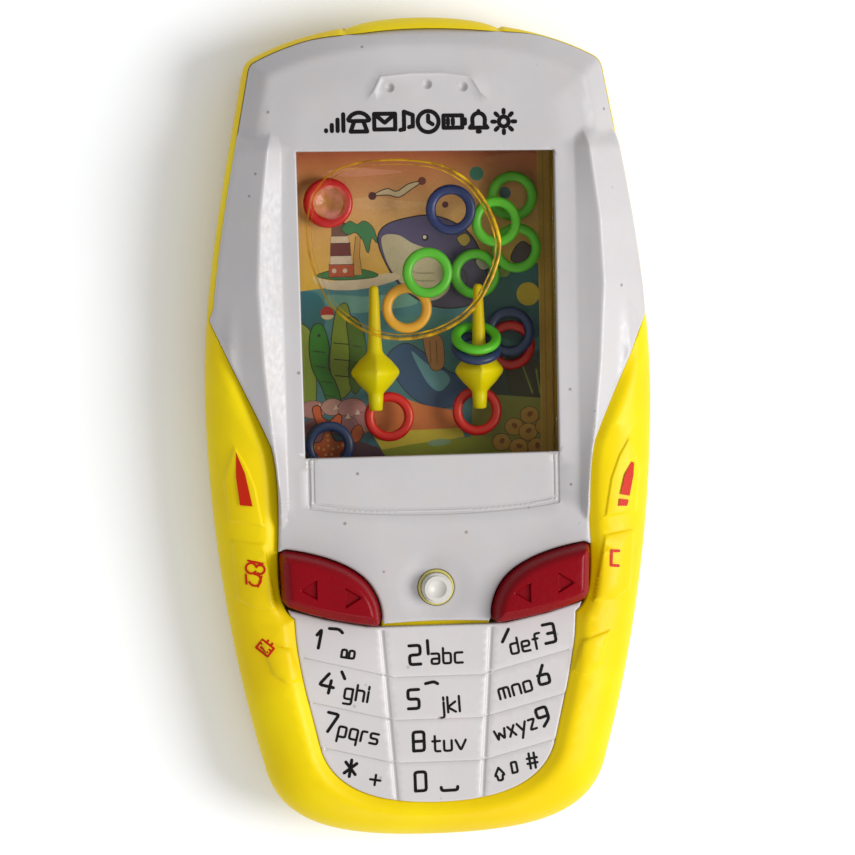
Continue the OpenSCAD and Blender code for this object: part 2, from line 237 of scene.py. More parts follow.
def triangulated(loops, extra, keep):
    """Triangles that fill a plan: its outlines are kept, and extra points refine it."""
    points = [p for loop in loops for p in loop]
    edges = []
    for loop in loops:
        start = len(edges)
        edges += [(start + i, start + (i + 1) % len(loop)) for i in range(len(loop))]
    points += list(extra)
    verts, _, faces, *_ = delaunay_2d_cdt([Vector(p) for p in points], edges, [], 0, 1e-5)
    verts = np.array([tuple(v) for v in verts])
    faces = np.array([f for f in faces if len(f) == 3])
    a, b, c = verts[faces[:, 0]], verts[faces[:, 1]], verts[faces[:, 2]]
    area = (b[:, 0] - a[:, 0]) * (c[:, 1] - a[:, 1]) - (b[:, 1] - a[:, 1]) * (c[:, 0] - a[:, 0])
    faces[area < 0] = faces[area < 0][:, ::-1]
    faces = faces[(np.abs(area) > 1e-7) & keep((a + b + c) / 3)]
    used, faces = np.unique(faces, return_inverse=True)
    return verts[used], faces.reshape(-1, 3)


def slab(verts, faces, top, base):
    """Closes a triangulated plan into a solid between two heights."""
    n = len(verts)
    border = {}
    for f in faces:
        for i, j in ((f[0], f[1]), (f[1], f[2]), (f[2], f[0])):
            if border.pop((j, i), None) is None:
                border[(i, j)] = True
    solid = np.vstack([np.c_[verts, top], np.c_[verts, base]])
    return solid, [*faces, *(faces[:, ::-1] + n), *[(j, i, i + n, j + n) for i, j in border]]


# Rows of points along an edge, how clear of it the others stay, a grid's row pitch, and the
# size of a cell that holds one point at most.
EDGE_STEPS = (0.05, 0.13, 0.25, 0.42, 0.7)
CLEAR = 0.8
ROW_PITCH = 0.87
CELL = 0.06


def plan_points(loops, spacing, steps, marks):
    """Points that refine a plan: close rows along its outlines and marks, and a grid over the rest."""
    borders = [closed(loop) for loop in loops]
    rows = [offset(b, s * d)[:-1] for b in borders for d in steps for s in (-1, 1)]
    close = np.vstack(rows) if rows else np.zeros((0, 2))
    close = close[in_plan(close, loops)]
    close = close[gap_to(close, *borders) > CLEAR * steps[0]]
    lines = [offset(line, d) for line, widths in marks for d in widths]
    if lines:
        close = np.vstack([close, *lines])
    low, high = np.min(loops[0], 0), np.max(loops[0], 0)
    xs = np.arange(low[0], high[0], spacing)
    ys = np.arange(low[1], high[1], spacing * ROW_PITCH)
    grid = np.array([(x + spacing / 2 * (j % 2), y) for j, y in enumerate(ys) for x in xs])
    room = gap_to(grid, *borders, *[line for line, widths in marks])
    both = np.vstack([close, grid[room > max(steps[-1], 0.5) + 0.4 * spacing]])
    both = both[in_plan(both, loops) & (gap_to(both, *borders) > CLEAR * steps[0])]
    cells = np.unique(np.round(both / CELL).astype(int), axis=0, return_index=True)[1]
    return both[cells]


def plan_solid(name, loops, top, base, material, body="case", spacing=1.0, steps=EDGE_STEPS, marks=(),
               sharp=SHARP):
    """A piece over a plan: loops are its outline and holes; top and base give heights at points."""
    loops = [np.asarray(loop, float) for loop in loops]
    extra = plan_points(loops, spacing, steps, marks)
    verts, faces = triangulated(loops, extra, lambda p: in_plan(p, loops))
    return add_object(name, *slab(verts, faces, top(verts), base(verts)), material, body, sharp)


def level(z):
    """A flat top or base."""
    return lambda p: np.full(len(p), z)


def skin(rows):
    """Faces between rows of points round an axis; a row may be one point repeated."""
    faces = []
    for low, high in zip(rows[:-1], rows[1:]):
        for k in range(len(low)):
            m = (k + 1) % len(low)
            face = list(dict.fromkeys((low[k], low[m], high[m], high[k])))
            if len(face) > 2:
                faces.append(face)
    return faces


def wrapped(n, m):
    """Faces of n rows of m points, closed both ways."""
    return [(i * m + j, (i + 1) % n * m + j, (i + 1) % n * m + (j + 1) % m, i * m + (j + 1) % m)
            for i in range(n) for j in range(m)]


def lathe(profile, centre, n=64):
    """Points and faces of a profile of (radius, height), with its ends on an upright axis, turned."""
    verts, rows = [], []
    for r, z in profile:
        start = len(verts)
        turns = 1 if r == 0 else n
        for k in range(turns):
            a = 2 * math.pi * k / n
            verts.append((centre[0] + r * math.cos(a), centre[1] + r * math.sin(a), z))
        rows.append([start + k % turns for k in range(n)])
    return verts, skin(rows)


# ---------------------------------------------------------------- materials

class Nodes:
    """Short calls for building a material's node tree."""

    def __init__(self, name):
        self.material = bpy.data.materials.new(name)
        self.material.use_nodes = True
        self.tree = self.material.node_tree
        self.shader = self.tree.nodes["Principled BSDF"]
        self.output = self.tree.nodes["Material Output"]
        self.place = self.add("ShaderNodeTexCoord").outputs["Object"]

    def add(self, kind, **values):
        node = self.tree.nodes.new(kind)
        for key, value in values.items():
            setattr(node, key, value)
        return node

    def link(self, a, b):
        self.tree.links.new(a, b)

    def noise(self, per_mm, detail=3.0, rough=0.5, stretch=(1, 1, 1)):
        """Noise with about per_mm features in a millimetre."""
        mapping = self.add("ShaderNodeMapping")
        mapping.inputs["Scale"].default_value = stretch
        self.link(self.place, mapping.inputs["Vector"])
        node = self.add("ShaderNodeTexNoise")
        node.inputs["Scale"].default_value = per_mm / MM
        node.inputs["Detail"].default_value = detail
        node.inputs["Roughness"].default_value = rough
        self.link(mapping.outputs["Vector"], node.inputs["Vector"])
        return node.outputs["Fac"]

    def band(self, value, low, high, to_low=0.0, to_high=1.0):
        """Maps the range low to high onto another one, and clamps."""
        node = self.add("ShaderNodeMapRange")
        names = ("From Min", "From Max", "To Min", "To Max")
        for key, v in zip(names, (low, high, to_low, to_high)):
            node.inputs[key].default_value = v
        self.link(value, node.inputs["Value"])
        return node.outputs["Result"]

    def mix(self, share, a, b, blend="MIX"):
        """A colour between a and b; each is a colour or a socket."""
        node = self.add("ShaderNodeMix", data_type="RGBA", blend_type=blend)
        for socket, value in ((node.inputs[0], share), (node.inputs[6], a), (node.inputs[7], b)):
            if isinstance(value, bpy.types.NodeSocket):
                self.link(value, socket)
            elif isinstance(value, (int, float)):
                socket.default_value = value
            else:
                socket.default_value = (*value, 1)
        return node.outputs[2]

    def bump(self, height, strength, distance_mm, shader=None):
        """Makes a shader's surface uneven: the main one's, or another's."""
        node = self.add("ShaderNodeBump")
        node.inputs["Strength"].default_value = strength
        node.inputs["Distance"].default_value = distance_mm * MM
        self.link(height, node.inputs["Height"])
        self.link(node.outputs["Normal"], (shader or self.shader).inputs["Normal"])

    def dots(self, per_mm):
        """Distance to the nearest of some scattered points, about per_mm of them in a millimetre."""
        node = self.add("ShaderNodeTexVoronoi", feature="F1")
        node.inputs["Scale"].default_value = per_mm / MM
        self.link(self.place, node.inputs["Vector"])
        return node.outputs["Distance"]

    def end_in(self, share, first, second):
        """Ends in a mix of two shaders."""
        both = self.add("ShaderNodeMixShader")
        for socket, value in zip(both.inputs, (share, first.outputs["BSDF"], second.outputs["BSDF"])):
            self.link(value, socket)
        self.link(both.outputs["Shader"], self.output.inputs["Surface"])

    def set(self, **values):
        """Sets or links the shader's sockets."""
        for key, value in values.items():
            socket = self.shader.inputs[key.replace("_", " ")]
            if isinstance(value, bpy.types.NodeSocket):
                self.link(value, socket)
            else:
                socket.default_value = value


def srgb(r, g, b):
    """A colour given in 0 to 255 as it is seen, in the renderer's linear values."""
    return tuple(((v / 255 + 0.055) / 1.055) ** 2.4 if v > 10 else v / 3294 for v in (r, g, b))


def moulded_plastic(name, colour, shade, rough=0.32, grime=0.0, shine=0.5, wave=0.25):
    """Moulded plastic: uneven colour, flow marks, fine grain, scuffs that dull it, and specks of grime."""
    n = Nodes(name)
    cloud = n.band(n.noise(0.04, 4), 0.35, 0.65)
    base = n.mix(cloud, colour, shade)
    flow = n.band(n.noise(0.12, 2, stretch=(1, 0.25, 1)), 0.4, 0.7, 0, 0.35)
    base = n.mix(flow, base, shade)
    if grime:
        small = n.band(n.dots(0.2), 0.045, 0.075, grime, 0)
        base = n.mix(small, base, srgb(84, 72, 64))
        film = n.band(n.noise(0.18, 6, 0.65), 0.52, 0.75, 0, grime * 0.3)
        base = n.mix(film, base, srgb(196, 178, 150))
    scuffs = n.noise(1.5, 4, 0.6, stretch=(1, 0.5, 1))
    n.set(Base_Color=base, Roughness=n.band(scuffs, 0.35, 0.75, rough - 0.05, rough + 0.14), IOR=1.5,
          Specular_IOR_Level=shine)
    grain = n.add("ShaderNodeMath", operation="ADD")
    n.link(n.band(n.noise(0.35, 3), 0, 1, 0, wave), grain.inputs[0])
    n.link(n.band(n.noise(6, 3), 0, 1, 0, 0.08), grain.inputs[1])
    n.bump(grain.outputs[0], 0.35, 0.12)
    return n.material


CLEAR_IOR = 1.17


def see_through(name, tint, gloss, streak):
    """Clear plastic or water: it tints what is behind it and mirrors a little at its surface."""
    n = Nodes(name)
    n.tree.nodes.remove(n.shader)
    clear = n.add("ShaderNodeBsdfTransparent")
    cloud = n.band(n.noise(0.06, 4), 0.3, 0.7)
    n.link(n.mix(cloud, tint, streak), clear.inputs["Color"])
    shine = n.add("ShaderNodeBsdfGlossy")
    shine.inputs["Roughness"].default_value = gloss
    n.bump(n.noise(0.15, 3), 0.15, 0.2, shine)
    fresnel = n.add("ShaderNodeFresnel")
    fresnel.inputs["IOR"].default_value = CLEAR_IOR
    # Nothing is mirrored at a surface from within, where one Fresnel node would mirror all.
    outside = n.add("ShaderNodeMath", operation="SUBTRACT", use_clamp=True)
    n.link(fresnel.outputs["Fac"], outside.inputs[0])
    n.link(n.add("ShaderNodeNewGeometry").outputs["Backfacing"], outside.inputs[1])
    n.end_in(outside.outputs[0], clear, shine)
    return n.material


def bead_of_water(name, colour, highlight_shares, tint):
    """The edge of a bubble or a drop: part clear, part coloured; the coloured share grows from left to right,
    a painted highlight on the side the lamp is on.
    """
    n = Nodes(name)
    clear = n.add("ShaderNodeBsdfTransparent")
    clear.inputs["Color"].default_value = (*tint, 1)
    cloud = n.band(n.noise(0.5, 3), 0.35, 0.65)
    n.set(Base_Color=n.mix(cloud, colour, srgb(150, 110, 10)), Roughness=0.08)
    split = n.add("ShaderNodeSeparateXYZ")
    n.link(n.place, split.inputs["Vector"])
    # Painted highlight: this mix follows the object's X, not the light that falls on it.
    n.end_in(n.band(split.outputs["X"], -18 * MM, 9 * MM, *highlight_shares), clear, n.shader)
    return n.material


def ink(name, colour, worn):
    """Pad-printed ink: nearly flat, thin in places."""
    n = Nodes(name)
    thin = n.band(n.noise(1.8, 4, 0.7), 0.62, 0.75, 0, 0.5)
    n.set(Base_Color=n.mix(thin, colour, worn), Roughness=n.band(n.noise(3, 3), 0.3, 0.7, 0.3, 0.5),
          Specular_IOR_Level=0.12)
    n.bump(n.noise(5, 2), 0.2, 0.02)
    return n.material


def metal(name, colour):
    """Zinc-plated steel with fine turning marks."""
    n = Nodes(name)
    stain = n.band(n.noise(0.8, 5), 0.4, 0.7)
    n.set(Base_Color=n.mix(stain, colour, srgb(120, 116, 108)), Metallic=1.0)
    n.set(Roughness=n.band(n.noise(4, 3, stretch=(1, 0.1, 1)), 0.3, 0.7, 0.22, 0.45))
    n.bump(n.noise(7, 2, stretch=(1, 0.1, 1)), 0.3, 0.03)
    return n.material


def printed_picture(name):
    """Offset print on card: the picture's colours, with dots, a paper grain and a dull varnish."""
    n = Nodes(name)
    paint = n.add("ShaderNodeVertexColor", layer_name="print").outputs["Color"]
    screen = n.band(n.dots(4), 0.2, 0.6, 0.0, 0.16)
    soft = n.mix(n.band(n.noise(0.25, 4), 0.3, 0.7, 0, 0.22), paint, srgb(214, 190, 130), "MULTIPLY")
    varnish = n.band(n.noise(2, 3), 0.3, 0.7, 0.4, 0.6)
    n.set(Base_Color=n.mix(screen, soft, srgb(70, 62, 50)), Roughness=varnish)
    n.bump(n.noise(5, 3), 0.2, 0.03)
    return n.material


YELLOW = moulded_plastic("yellow_plastic", srgb(230, 206, 0), srgb(220, 188, 0), 0.36, shine=0.15)
WHITE = moulded_plastic("white_plastic", srgb(184, 180, 180), srgb(176, 172, 172), 0.36, grime=0.6)
KEYS = moulded_plastic("keypad_white", srgb(197, 191, 190), srgb(188, 183, 182), 0.34, grime=0.3)
RED = moulded_plastic("red_plastic", srgb(132, 0, 16), srgb(120, 0, 12), 0.26, shine=0.12)
PEG_YELLOW = moulded_plastic("peg_yellow", srgb(222, 212, 0), srgb(216, 192, 0), 0.3, shine=0.3)
PLUG_WHITE = moulded_plastic("plug_white", srgb(204, 200, 195), srgb(192, 188, 180), 0.35)
CREAM = moulded_plastic("neck_cream", srgb(206, 198, 120), srgb(196, 184, 100), 0.35)
RUBBER = moulded_plastic("bellows_rubber", srgb(52, 52, 58), srgb(40, 40, 44), 0.6)
STEEL = metal("screw_steel", srgb(196, 196, 200))
AMBER = see_through("amber_clear", (0.94, 0.92, 0.9), 0.04, (0.93, 0.91, 0.875))
WATER = see_through("amber_water", (0.97, 0.97, 0.83), 0.02, (0.94, 0.94, 0.77))
# The bubble's rim: its bright yellow is a painted highlight, the light caught in the water's edge.
RIM_HIGHLIGHT = bead_of_water("bubble_rim_highlight", srgb(250, 206, 20), (0.22, 0.85), (0.97, 0.88, 0.6))
DROP = bead_of_water("hanging_drop", srgb(240, 150, 140), (0.4, 0.5), (1.0, 0.8, 0.78))
BLACK_INK = ink("black_ink", srgb(16, 13, 13), srgb(44, 40, 38))
RED_INK = ink("red_ink", srgb(186, 34, 8), srgb(206, 70, 20))
PICTURE = printed_picture("printed_card")
RING_COLOURS = {
    "green": moulded_plastic("ring_green", srgb(100, 204, 58), srgb(84, 186, 46), 0.35, wave=0.05),
    "navy": moulded_plastic("ring_navy", srgb(38, 58, 120), srgb(30, 48, 102), 0.35, wave=0.05),
    "red": moulded_plastic("ring_red", srgb(206, 26, 32), srgb(186, 18, 26), 0.35, wave=0.05),
    "orange": moulded_plastic("ring_orange", srgb(238, 186, 66), srgb(230, 170, 52), 0.35, wave=0.05),
}


# ---------------------------------------------------------------- outlines

CASE_CURVES = [((0, 73.2), (14, 73.2), (24, 70.6), (31, 66.8)),
               ((31, 66.8), (32, 66.2), (32.4, 65.3), (32.6, 63.8)),
               ((32.6, 63.8), (35.9, 46.3), (40.4, 26), (40.4, 7)),
               ((40.4, 7), (40.4, -16), (36.9, -40.1), (31.3, -60.1)),
               ((31.3, -60.1), (29, -71), (19, -74), (0, -74))]
BROW = [((-15, 71), (-12.6, 74.85), (12, 74.85), (14.4, 71))]
FRAME_CURVES = [((39.4, 20.4), (35.4, 11), (31.4, 3.6), (29, -2.3)),
                ((29, -2.3), (27.8, -7), (27.8, -14), (28.2, -21)),
                ((28.2, -21), (28.4, -27), (28.2, -31.6), (25.5, -33.4)),
                ((25.5, -33.4), (25.3, -42), (22.8, -50), (21.2, -57.4)),
                ((21.2, -57.4), (18.9, -64.6), (11, -67.3), (0, -67.3))]
BUTTON_TOP_CURVES = [((-28, -22.2), (-28, -21.2), (-27.6, -20.9), (-26.6, -20.9)),
                     ((-26.6, -20.9), (-19.8, -22), (-14.5, -24.2), (-12.1, -27.4)),
                     ((-12.1, -27.4), (-10.5, -29.6), (-9.9, -32), (-10.1, -33.9))]
BUTTON_LOW_CURVES = [((-10.1, -33.9), (-10.3, -34.9), (-11.2, -34.8), (-12.6, -34.5)),
                     ((-12.6, -34.5), (-17.9, -33.7), (-22.7, -32.6), (-26.8, -30.8))]
BUTTON_END = ((-27.7, -29.8), (-28, -22.2))

CASE = two_sided(trace(CASE_CURVES))
BROW_LINE = trace(BROW)
CASE_BORDER = closed(CASE)
SHELL = np.vstack([[p for p in CASE if p[1] < 60 or not -14.2 < p[0] < 13.6],
                   [p for p in BROW_LINE if -14.2 < p[0] < 13.6]])
SHELL = SHELL[np.argsort(-np.arctan2(SHELL[:, 1], SHELL[:, 0]))]
SHELL_BORDER = closed(SHELL)


def inside_case(inset, middle, low):
    """The right half of the case's outline above some height, drawn in; middle is for the middle."""
    half = trace(CASE_CURVES)
    drawn = middle + (inset - middle) * ramp(half[:, :1], 0, 24)
    return np.array([p for p in offset(half, -drawn) if p[1] > low])


def frame_edge(grow):
    """The yellow frame's inner edge on the right, moved outwards by grow."""
    return offset(trace(FRAME_CURVES), grow)


def seat(right, left, grow):
    """The yellow frame's opening, or with other gaps the white parts in it: right and left halves."""
    halves = []
    for inset in (right, left):
        upper = inside_case(inset, (right + left) / 2, 22)
        upper[:, 1] -= 0.9 * ramp(22 - upper[:, 0], 0, 12)
        halves.append(np.vstack([upper, frame_edge(grow)]))
    return halves


BUTTON_TOP = trace(BUTTON_TOP_CURVES, 0.5)
BUTTON_LOW = np.vstack([trace(BUTTON_LOW_CURVES, 0.5), BUTTON_END[:1]])
BUTTON = np.vstack([BUTTON_TOP[:-1], BUTTON_LOW, polyline(BUTTON_END, 0.5)[1:-1]])


# ---------------------------------------------------------------- case

def rear_cover():
    """Yellow back shell: rounded below, hollow above, with a fake battery door and six screw wells."""
    door = (-21, 21, -46, 22)
    wells = [(s * x, y) for s in (-1, 1) for x, y in ((26.8, 58.6), (32, 4), (20.5, -58.5))]
    well_r, boss_r, wall, edge, edge_rise = 3.0, 3.4, 1.8, 3.2, 4.2
    left, right, low, high = door
    rim = [polyline([(left, low), (right, low), (right, high), (left, high), (left, low)])]
    grips = [polyline([(-7, 13.4 - 1.8 * i), (7, 13.4 - 1.8 * i)], 1) for i in range(5)]

    def base(p):
        d = gap_to(p, SHELL_BORDER)
        z = edge_rise * (1 - np.sqrt(1 - np.clip(1 - d / edge, 0, 1) ** 2))
        z += 0.4 * (1 - ramp(gap_to(p, *rim), 0.25, 0.45))
        z += 0.45 * (1 - ramp(gap_to(p, *grips), 0.25, 0.5))
        for c in wells:
            z = np.where(np.hypot(*(p - c).T) < well_r, WELL_TOP_Z, z)
        return z

    def top(p):
        high = gap_to(p, SHELL_BORDER) < wall
        for c in wells:
            high |= np.hypot(*(p - c).T) < boss_r
        return np.where(high, SEAM_Z - 0.15, FLOOR_Z)

    marks = [(SHELL_BORDER, (-wall + 0.03, -wall - 0.03, -1.1, -2.4, -edge))]
    marks += [(closed(ring_line(c, r, 48)), (-0.03, 0.03)) for c in wells for r in (well_r, boss_r)]
    marks += [(rim[0], (-0.45, -0.25, 0.25, 0.45))] + [(g, (-0.5, -0.25, 0, 0.25, 0.5)) for g in grips]
    piece = plan_solid("rear_shell", [SHELL], top, base, YELLOW, spacing=2.2, marks=marks)
    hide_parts("rear_cover")


PADS = [polyline([(35.6, -2), (33.6, -5.2), (32, -9.4), (30.8, -16.3), (36.8, -15.4), (37.6, -8),
                  (35.6, -2)]),
        polyline([(30.7, -19.6), (36.4, -18.8), (35.6, -29.4), (33, -31), (28.6, -31.4), (30.7, -19.6)]),
        polyline([(26.4, -38.6), (31.6, -37), (29.6, -43), (27.4, -44.6), (24.6, -44.2), (26.4, -38.6)])]
PADS += [mirrored(pad) for pad in PADS]
PAD_RISE = 0.4
SEATS = seat(0.3, 0.85, BORDER_GAP)
SEAT_BORDER = closed(np.vstack([SEATS[0], mirrored(SEATS[1])[1:-1]]))
LOW_SEAT = [np.array([p for p in SEAT_BORDER if p[0] > 0 and p[1] < 22])]
LOW_SEAT += [mirrored(LOW_SEAT[0])]


def frame_height(p):
    """Top of the yellow frame: crowned from its outer edge, sunk towards the white parts, with pads."""
    d = gap_to(p, SHELL_BORDER)
    full = 1 - np.clip(1 - d / 11, 0, 1) ** 2.4
    z = CROWN_Z + (COVER_Z - CROWN_Z) * full ** 0.68
    lip = gap_to(p, *LOW_SEAT)
    z -= 1.5 * (1 - ramp(lip, -0.4, 2.5)) * (1 - ramp(p[:, 1], 6, 20))
    for pad in PADS:
        z += PAD_RISE * ramp(signed_gap(p, pad), -0.2, 0.3)
    return z - fillet(lip, 0.3)


def front_frame():
    """Yellow front shell round the keypad and under the white cover, and the bar over the keypad."""
    marks = [(pad, (-0.3, -0.12, 0.05, 0.2, 0.35)) for pad in PADS]
    marks += [(line, (-1.2, -1.8, -2.4, -3)) for line in LOW_SEAT]
    steps = (0.04, 0.12, 0.25, 0.5, 0.9, 1.5, 2.3)
    piece = plan_solid("front_shell", [SHELL, SEAT_BORDER[:-1]], frame_height,
                       level(SEAM_Z), YELLOW, spacing=1.1, steps=steps, marks=marks)
    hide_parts("front_frame")
    bar = polyline([(-9.8, -37), (9.8, -37), (9.8, -34.2), (-9.8, -34.2), (-9.8, -37)])[:-1]
    low_bar = plan_solid("keypad_bar", [bar], lambda p: BAR_Z - fillet(gap_to(p, closed(bar)), 0.3),
                         level(BAR_BASE_Z), YELLOW)


WINDOW = polyline([*WINDOW_CORNERS, WINDOW_CORNERS[0]], 1.2)[:-1]
FILLER_RIM = ring_line(FILLER, FILLER_R, 64)
EAR_HOLES = [(-6.7, 61.1), (0, 61.6), (6.4, 61.1)]
BRACKET = polyline([(-9.5, 60.4), (-8.2, 63), (-3, 63.5), (3, 63.5), (7.9, 62.8), (9.5, 60.1)], 0.8)


def panel_line(x, y, rise):
    """Edge of the stepped panel under the window: two sides and a shallow arc."""
    arc_below = cubic((-x, y), (-x / 2, y - rise), (x / 2, y - rise), (x, y), 1)
    return np.vstack([polyline([(-x, -4.1), (-x, y)])[:-1], arc_below, polyline([(x, y), (x, -4.1)])])


PANEL = [panel_line(22.4, -13.3, 2.1), panel_line(21.6, -12.5, 2.05)]


def cover_outline():
    """White cover: the case's edge above, the yellow frame's at the sides, and a notch over each button."""
    halves = []
    for side in seat(0.33, 0.88, 0):
        side = side[side[:, 1] > -21.7]
        notch = offset(BUTTON_TOP, BUTTON_GAP) * (-1, 1)
        notch = notch[(notch[:, 1] > -34.2) & (notch[:, 0] < 27.9)]
        lower = trace([((9.5, -34.5), (6, -34.3), (3, -34.2), (0, -34.2))], 0.8)
        halves.append(np.vstack([side, notch, lower]))
    return np.vstack([halves[0], mirrored(halves[1])[1:-1]])


RIDGE = ((-25, 27.4), (-12, 27.5), (0, 28.9), (12, 30.1), (26, 30.9), (38, 30.3), (50, 28.7), (58, 26.9))


def cover_height(p):
    """Top of the white cover, before its edges are rounded."""
    x, y = np.abs(p[:, 0]), p[:, 1]
    d = gap_to(p, CASE_BORDER)
    chamfer = 13.9 + 0.98 * (d - 0.55)
    z = soft_min(chamfer, COVER_EDGE_Z + 0.75 * ramp(d, 3.5, 12), 0.5)
    ends = ramp(y, -25, -13) * (1 - ramp(y, 50, 59))
    ridge_x = np.interp(y, *zip(*RIDGE))
    inner = COVER_Z + RAIL_RISE * ends * np.clip((x - RAIL_FOOT) / (ridge_x - RAIL_FOOT), -1, 3)
    outer = COVER_Z + RAIL_RISE * ends - 0.6 * (x - ridge_x)
    rail = soft_min(inner, outer, 0.35) - 6 * (1 - ends)
    z = soft_max(z, rail, 0.3)
    # Stepped panel under the window.
    step = 0.3 * (1 - ramp(gap_to(p, PANEL[0]), 0.1, 0.32))
    step += 0.2 * (1 - ramp(gap_to(p, PANEL[1]), 0.08, 0.28))
    z -= (y < 0) * step
    # Dish round the filler hole, ear holes and the bracket over them.
    r = np.hypot(p[:, 0] - FILLER[0], p[:, 1] - FILLER[1])
    z -= 0.5 * (1 - ramp(r, 3.2, 7.6))
    for c in EAR_HOLES:
        z -= 0.7 * (1 - ramp(np.hypot(*(p - c).T), 0.35, 0.95))
    z += 0.28 * (1 - ramp(gap_to(p, BRACKET), 0.08, 0.42))
    return z


def front_cover():
    """White fascia with its rails, window, filler hole and notches."""
    outline = cover_outline()
    borders = [closed(outline)]
    cut = [closed(WINDOW), closed(FILLER_RIM)]

    def top(p):
        return cover_height(p) - fillet(gap_to(p, *borders), 0.5) - fillet(gap_to(p, *cut), 0.28)

    def base(p):
        skirt = (gap_to(p, *borders) < 1.2) & (p[:, 1] > -20)
        return np.where(skirt, LEDGE_Z, np.maximum(cover_height(p) - COVER_WALL, LEDGE_Z))

    marks = [(line, (-0.36, -0.24, -0.12, 0, 0.12, 0.24, 0.36)) for line in PANEL]
    marks += [(BRACKET, (-0.45, -0.25, -0.08, 0.08, 0.25, 0.45))]
    marks += [(closed(ring_line(c, r, 20)), (0,)) for c in EAR_HOLES for r in (0.3, 0.5, 0.7, 0.9, 1.1)]
    marks += [(closed(ring_line(FILLER, r, 48)), (0,)) for r in (4, 4.6, 5.3, 6, 6.8, 7.6)]
    for s in (-1, 1):
        marks += [(polyline([(s * RAIL_FOOT, -20), (s * RAIL_FOOT, 56)]), (-0.3, 0, 0.3))]
        marks += [(polyline([(s * x, y) for y, x in RIDGE]), (-0.5, -0.25, 0, 0.25, 0.5))]
    steps = (0.04, 0.1, 0.2, 0.35, 0.55, 0.9, 1.5)
    piece = plan_solid("front_cover_shell", [outline, WINDOW, FILLER_RIM], top, base, WHITE, steps=steps,
                       marks=marks)
    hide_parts("front_cover")


# ---------------------------------------------------------------- keypad

ROW_PITCH_Y = 7.8
LEVEL_X = 8


def row_rise(x):
    """How far the rows of keys have risen at some x: they are level in the middle."""
    return 0.25 * np.maximum(0, np.abs(x) - LEVEL_X)


def row_line(k, x):
    """Line under key row k (0 to 2) at some x."""
    return -44.3 - ROW_PITCH_Y * k + row_rise(x)


def column_line(y):
    """Half the width of the middle column at some y."""
    return 9.9 + (y + 36) * 0.07


KEYPAD = two_sided(np.vstack([polyline([(0, -35.2), (9.8, -35.2), (12.6, -35.1), (20, -33.6), (26.6, -31.7)]),
                              np.array([p for p in frame_edge(-0.02) if p[1] < -32.6])]))
KEY_LINES = [trace([((s * 24, row_line(k, 24)), (s * 18, row_line(k, 18)), (s * 12, row_line(k, 12)),
                     (s * 8, row_line(k, 8)))]) for s in (-1, 1) for k in range(3)]
KEY_LINES += [polyline([(-LEVEL_X, row_line(k, 0)), (LEVEL_X, row_line(k, 0))]) for k in range(3)]
COLUMN_LINES = [polyline([(s * column_line(-36), -36), (s * column_line(-67), -67)]) for s in (-1, 1)]


def key_height(p):
    """Tops of the keys: each leans a little towards its upper edge, and the outer columns fall outwards."""
    x, y = p.T
    z = np.full(len(p), KEY_Z)
    row = np.zeros(len(p))
    for k in range(3):
        row += y < row_line(k, x)
    middle = -40.2 - ROW_PITCH_Y * row + row_rise(x)
    z += 0.035 * np.clip(middle - y, -4, 4) - 0.12
    z -= 0.03 * np.maximum(0, np.abs(x) - column_line(y))
    z -= 0.14 * (1 - ramp(gap_to(p, *KEY_LINES), 0.05, 0.22))
    z -= 0.36 * (1 - ramp(gap_to(p, *COLUMN_LINES), 0.08, 0.6))
    return z


def keypad():
    """White keypad: twelve fake keys, parted by fine grooves."""
    def top(p):
        return key_height(p) - fillet(gap_to(p, closed(KEYPAD)), 0.35)

    marks = [(line, (-0.24, -0.12, -0.04, 0.04, 0.12, 0.24)) for line in KEY_LINES]
    marks += [(line, (-0.6, -0.4, -0.25, -0.1, 0, 0.1, 0.25, 0.4, 0.6)) for line in COLUMN_LINES]
    piece = plan_solid("keypad", [KEYPAD], top, level(WELL_Z), KEYS, spacing=0.9, marks=marks,
                       steps=(0.04, 0.12, 0.25, 0.42, 0.6))
    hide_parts("keypad_plate")


# ---------------------------------------------------------------- buttons and pumps

def button(side):
    """Red pump button: drafted sides, a bevel all round and two recessed arrows."""
    flip = -1 if side == "right" else 1
    outline = BUTTON if flip == 1 else mirrored(BUTTON)
    upper, lower = BUTTON_TOP * (flip, 1), BUTTON_LOW * (flip, 1)
    end = np.array(BUTTON_END) * (flip, 1)
    foot_z, draft = 17.6, 2.9
    arrows = []
    for s in (-1, 1):
        tip = np.array([(s * 1.8, 0), (-s * 1.2, 1.8), (-s * 1.2, -1.8), (s * 1.8, 0)])
        arrows.append(polyline((tip + (s * 3.7 - 19.1, -28.4 - s * 0.8)) * (flip, 1), 0.4))

    def top(p):
        runs = ((upper, 0.75), (lower, 0.2), (end, 0.5))
        climb = np.minimum.reduce([gap_to(p, line) / run for line, run in runs])
        wall = foot_z + draft * climb
        bevel = BUTTON_Z - 1.35 + 1.15 * (gap_to(p, upper, lower, end) - 0.55)
        z = soft_min(soft_min(wall, bevel, 0.25), np.full(len(p), BUTTON_Z), 0.3)
        for arrow in arrows:
            z -= 0.6 * ramp(signed_gap(p, arrow), -0.05, 0.2)
        return z

    marks = [(a, (-0.3, -0.2, -0.07, 0.05, 0.2)) for a in arrows]
    steps = (0.06, 0.18, 0.35, 0.55, 0.8, 1.1, 1.4, 1.7, 2.1)
    piece = plan_solid(side + "_button_cap", [outline], top, level(BUTTON_BASE_Z), RED, side + "_button",
                       0.8, steps, marks, sharp=50)
    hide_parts(side + "_button")


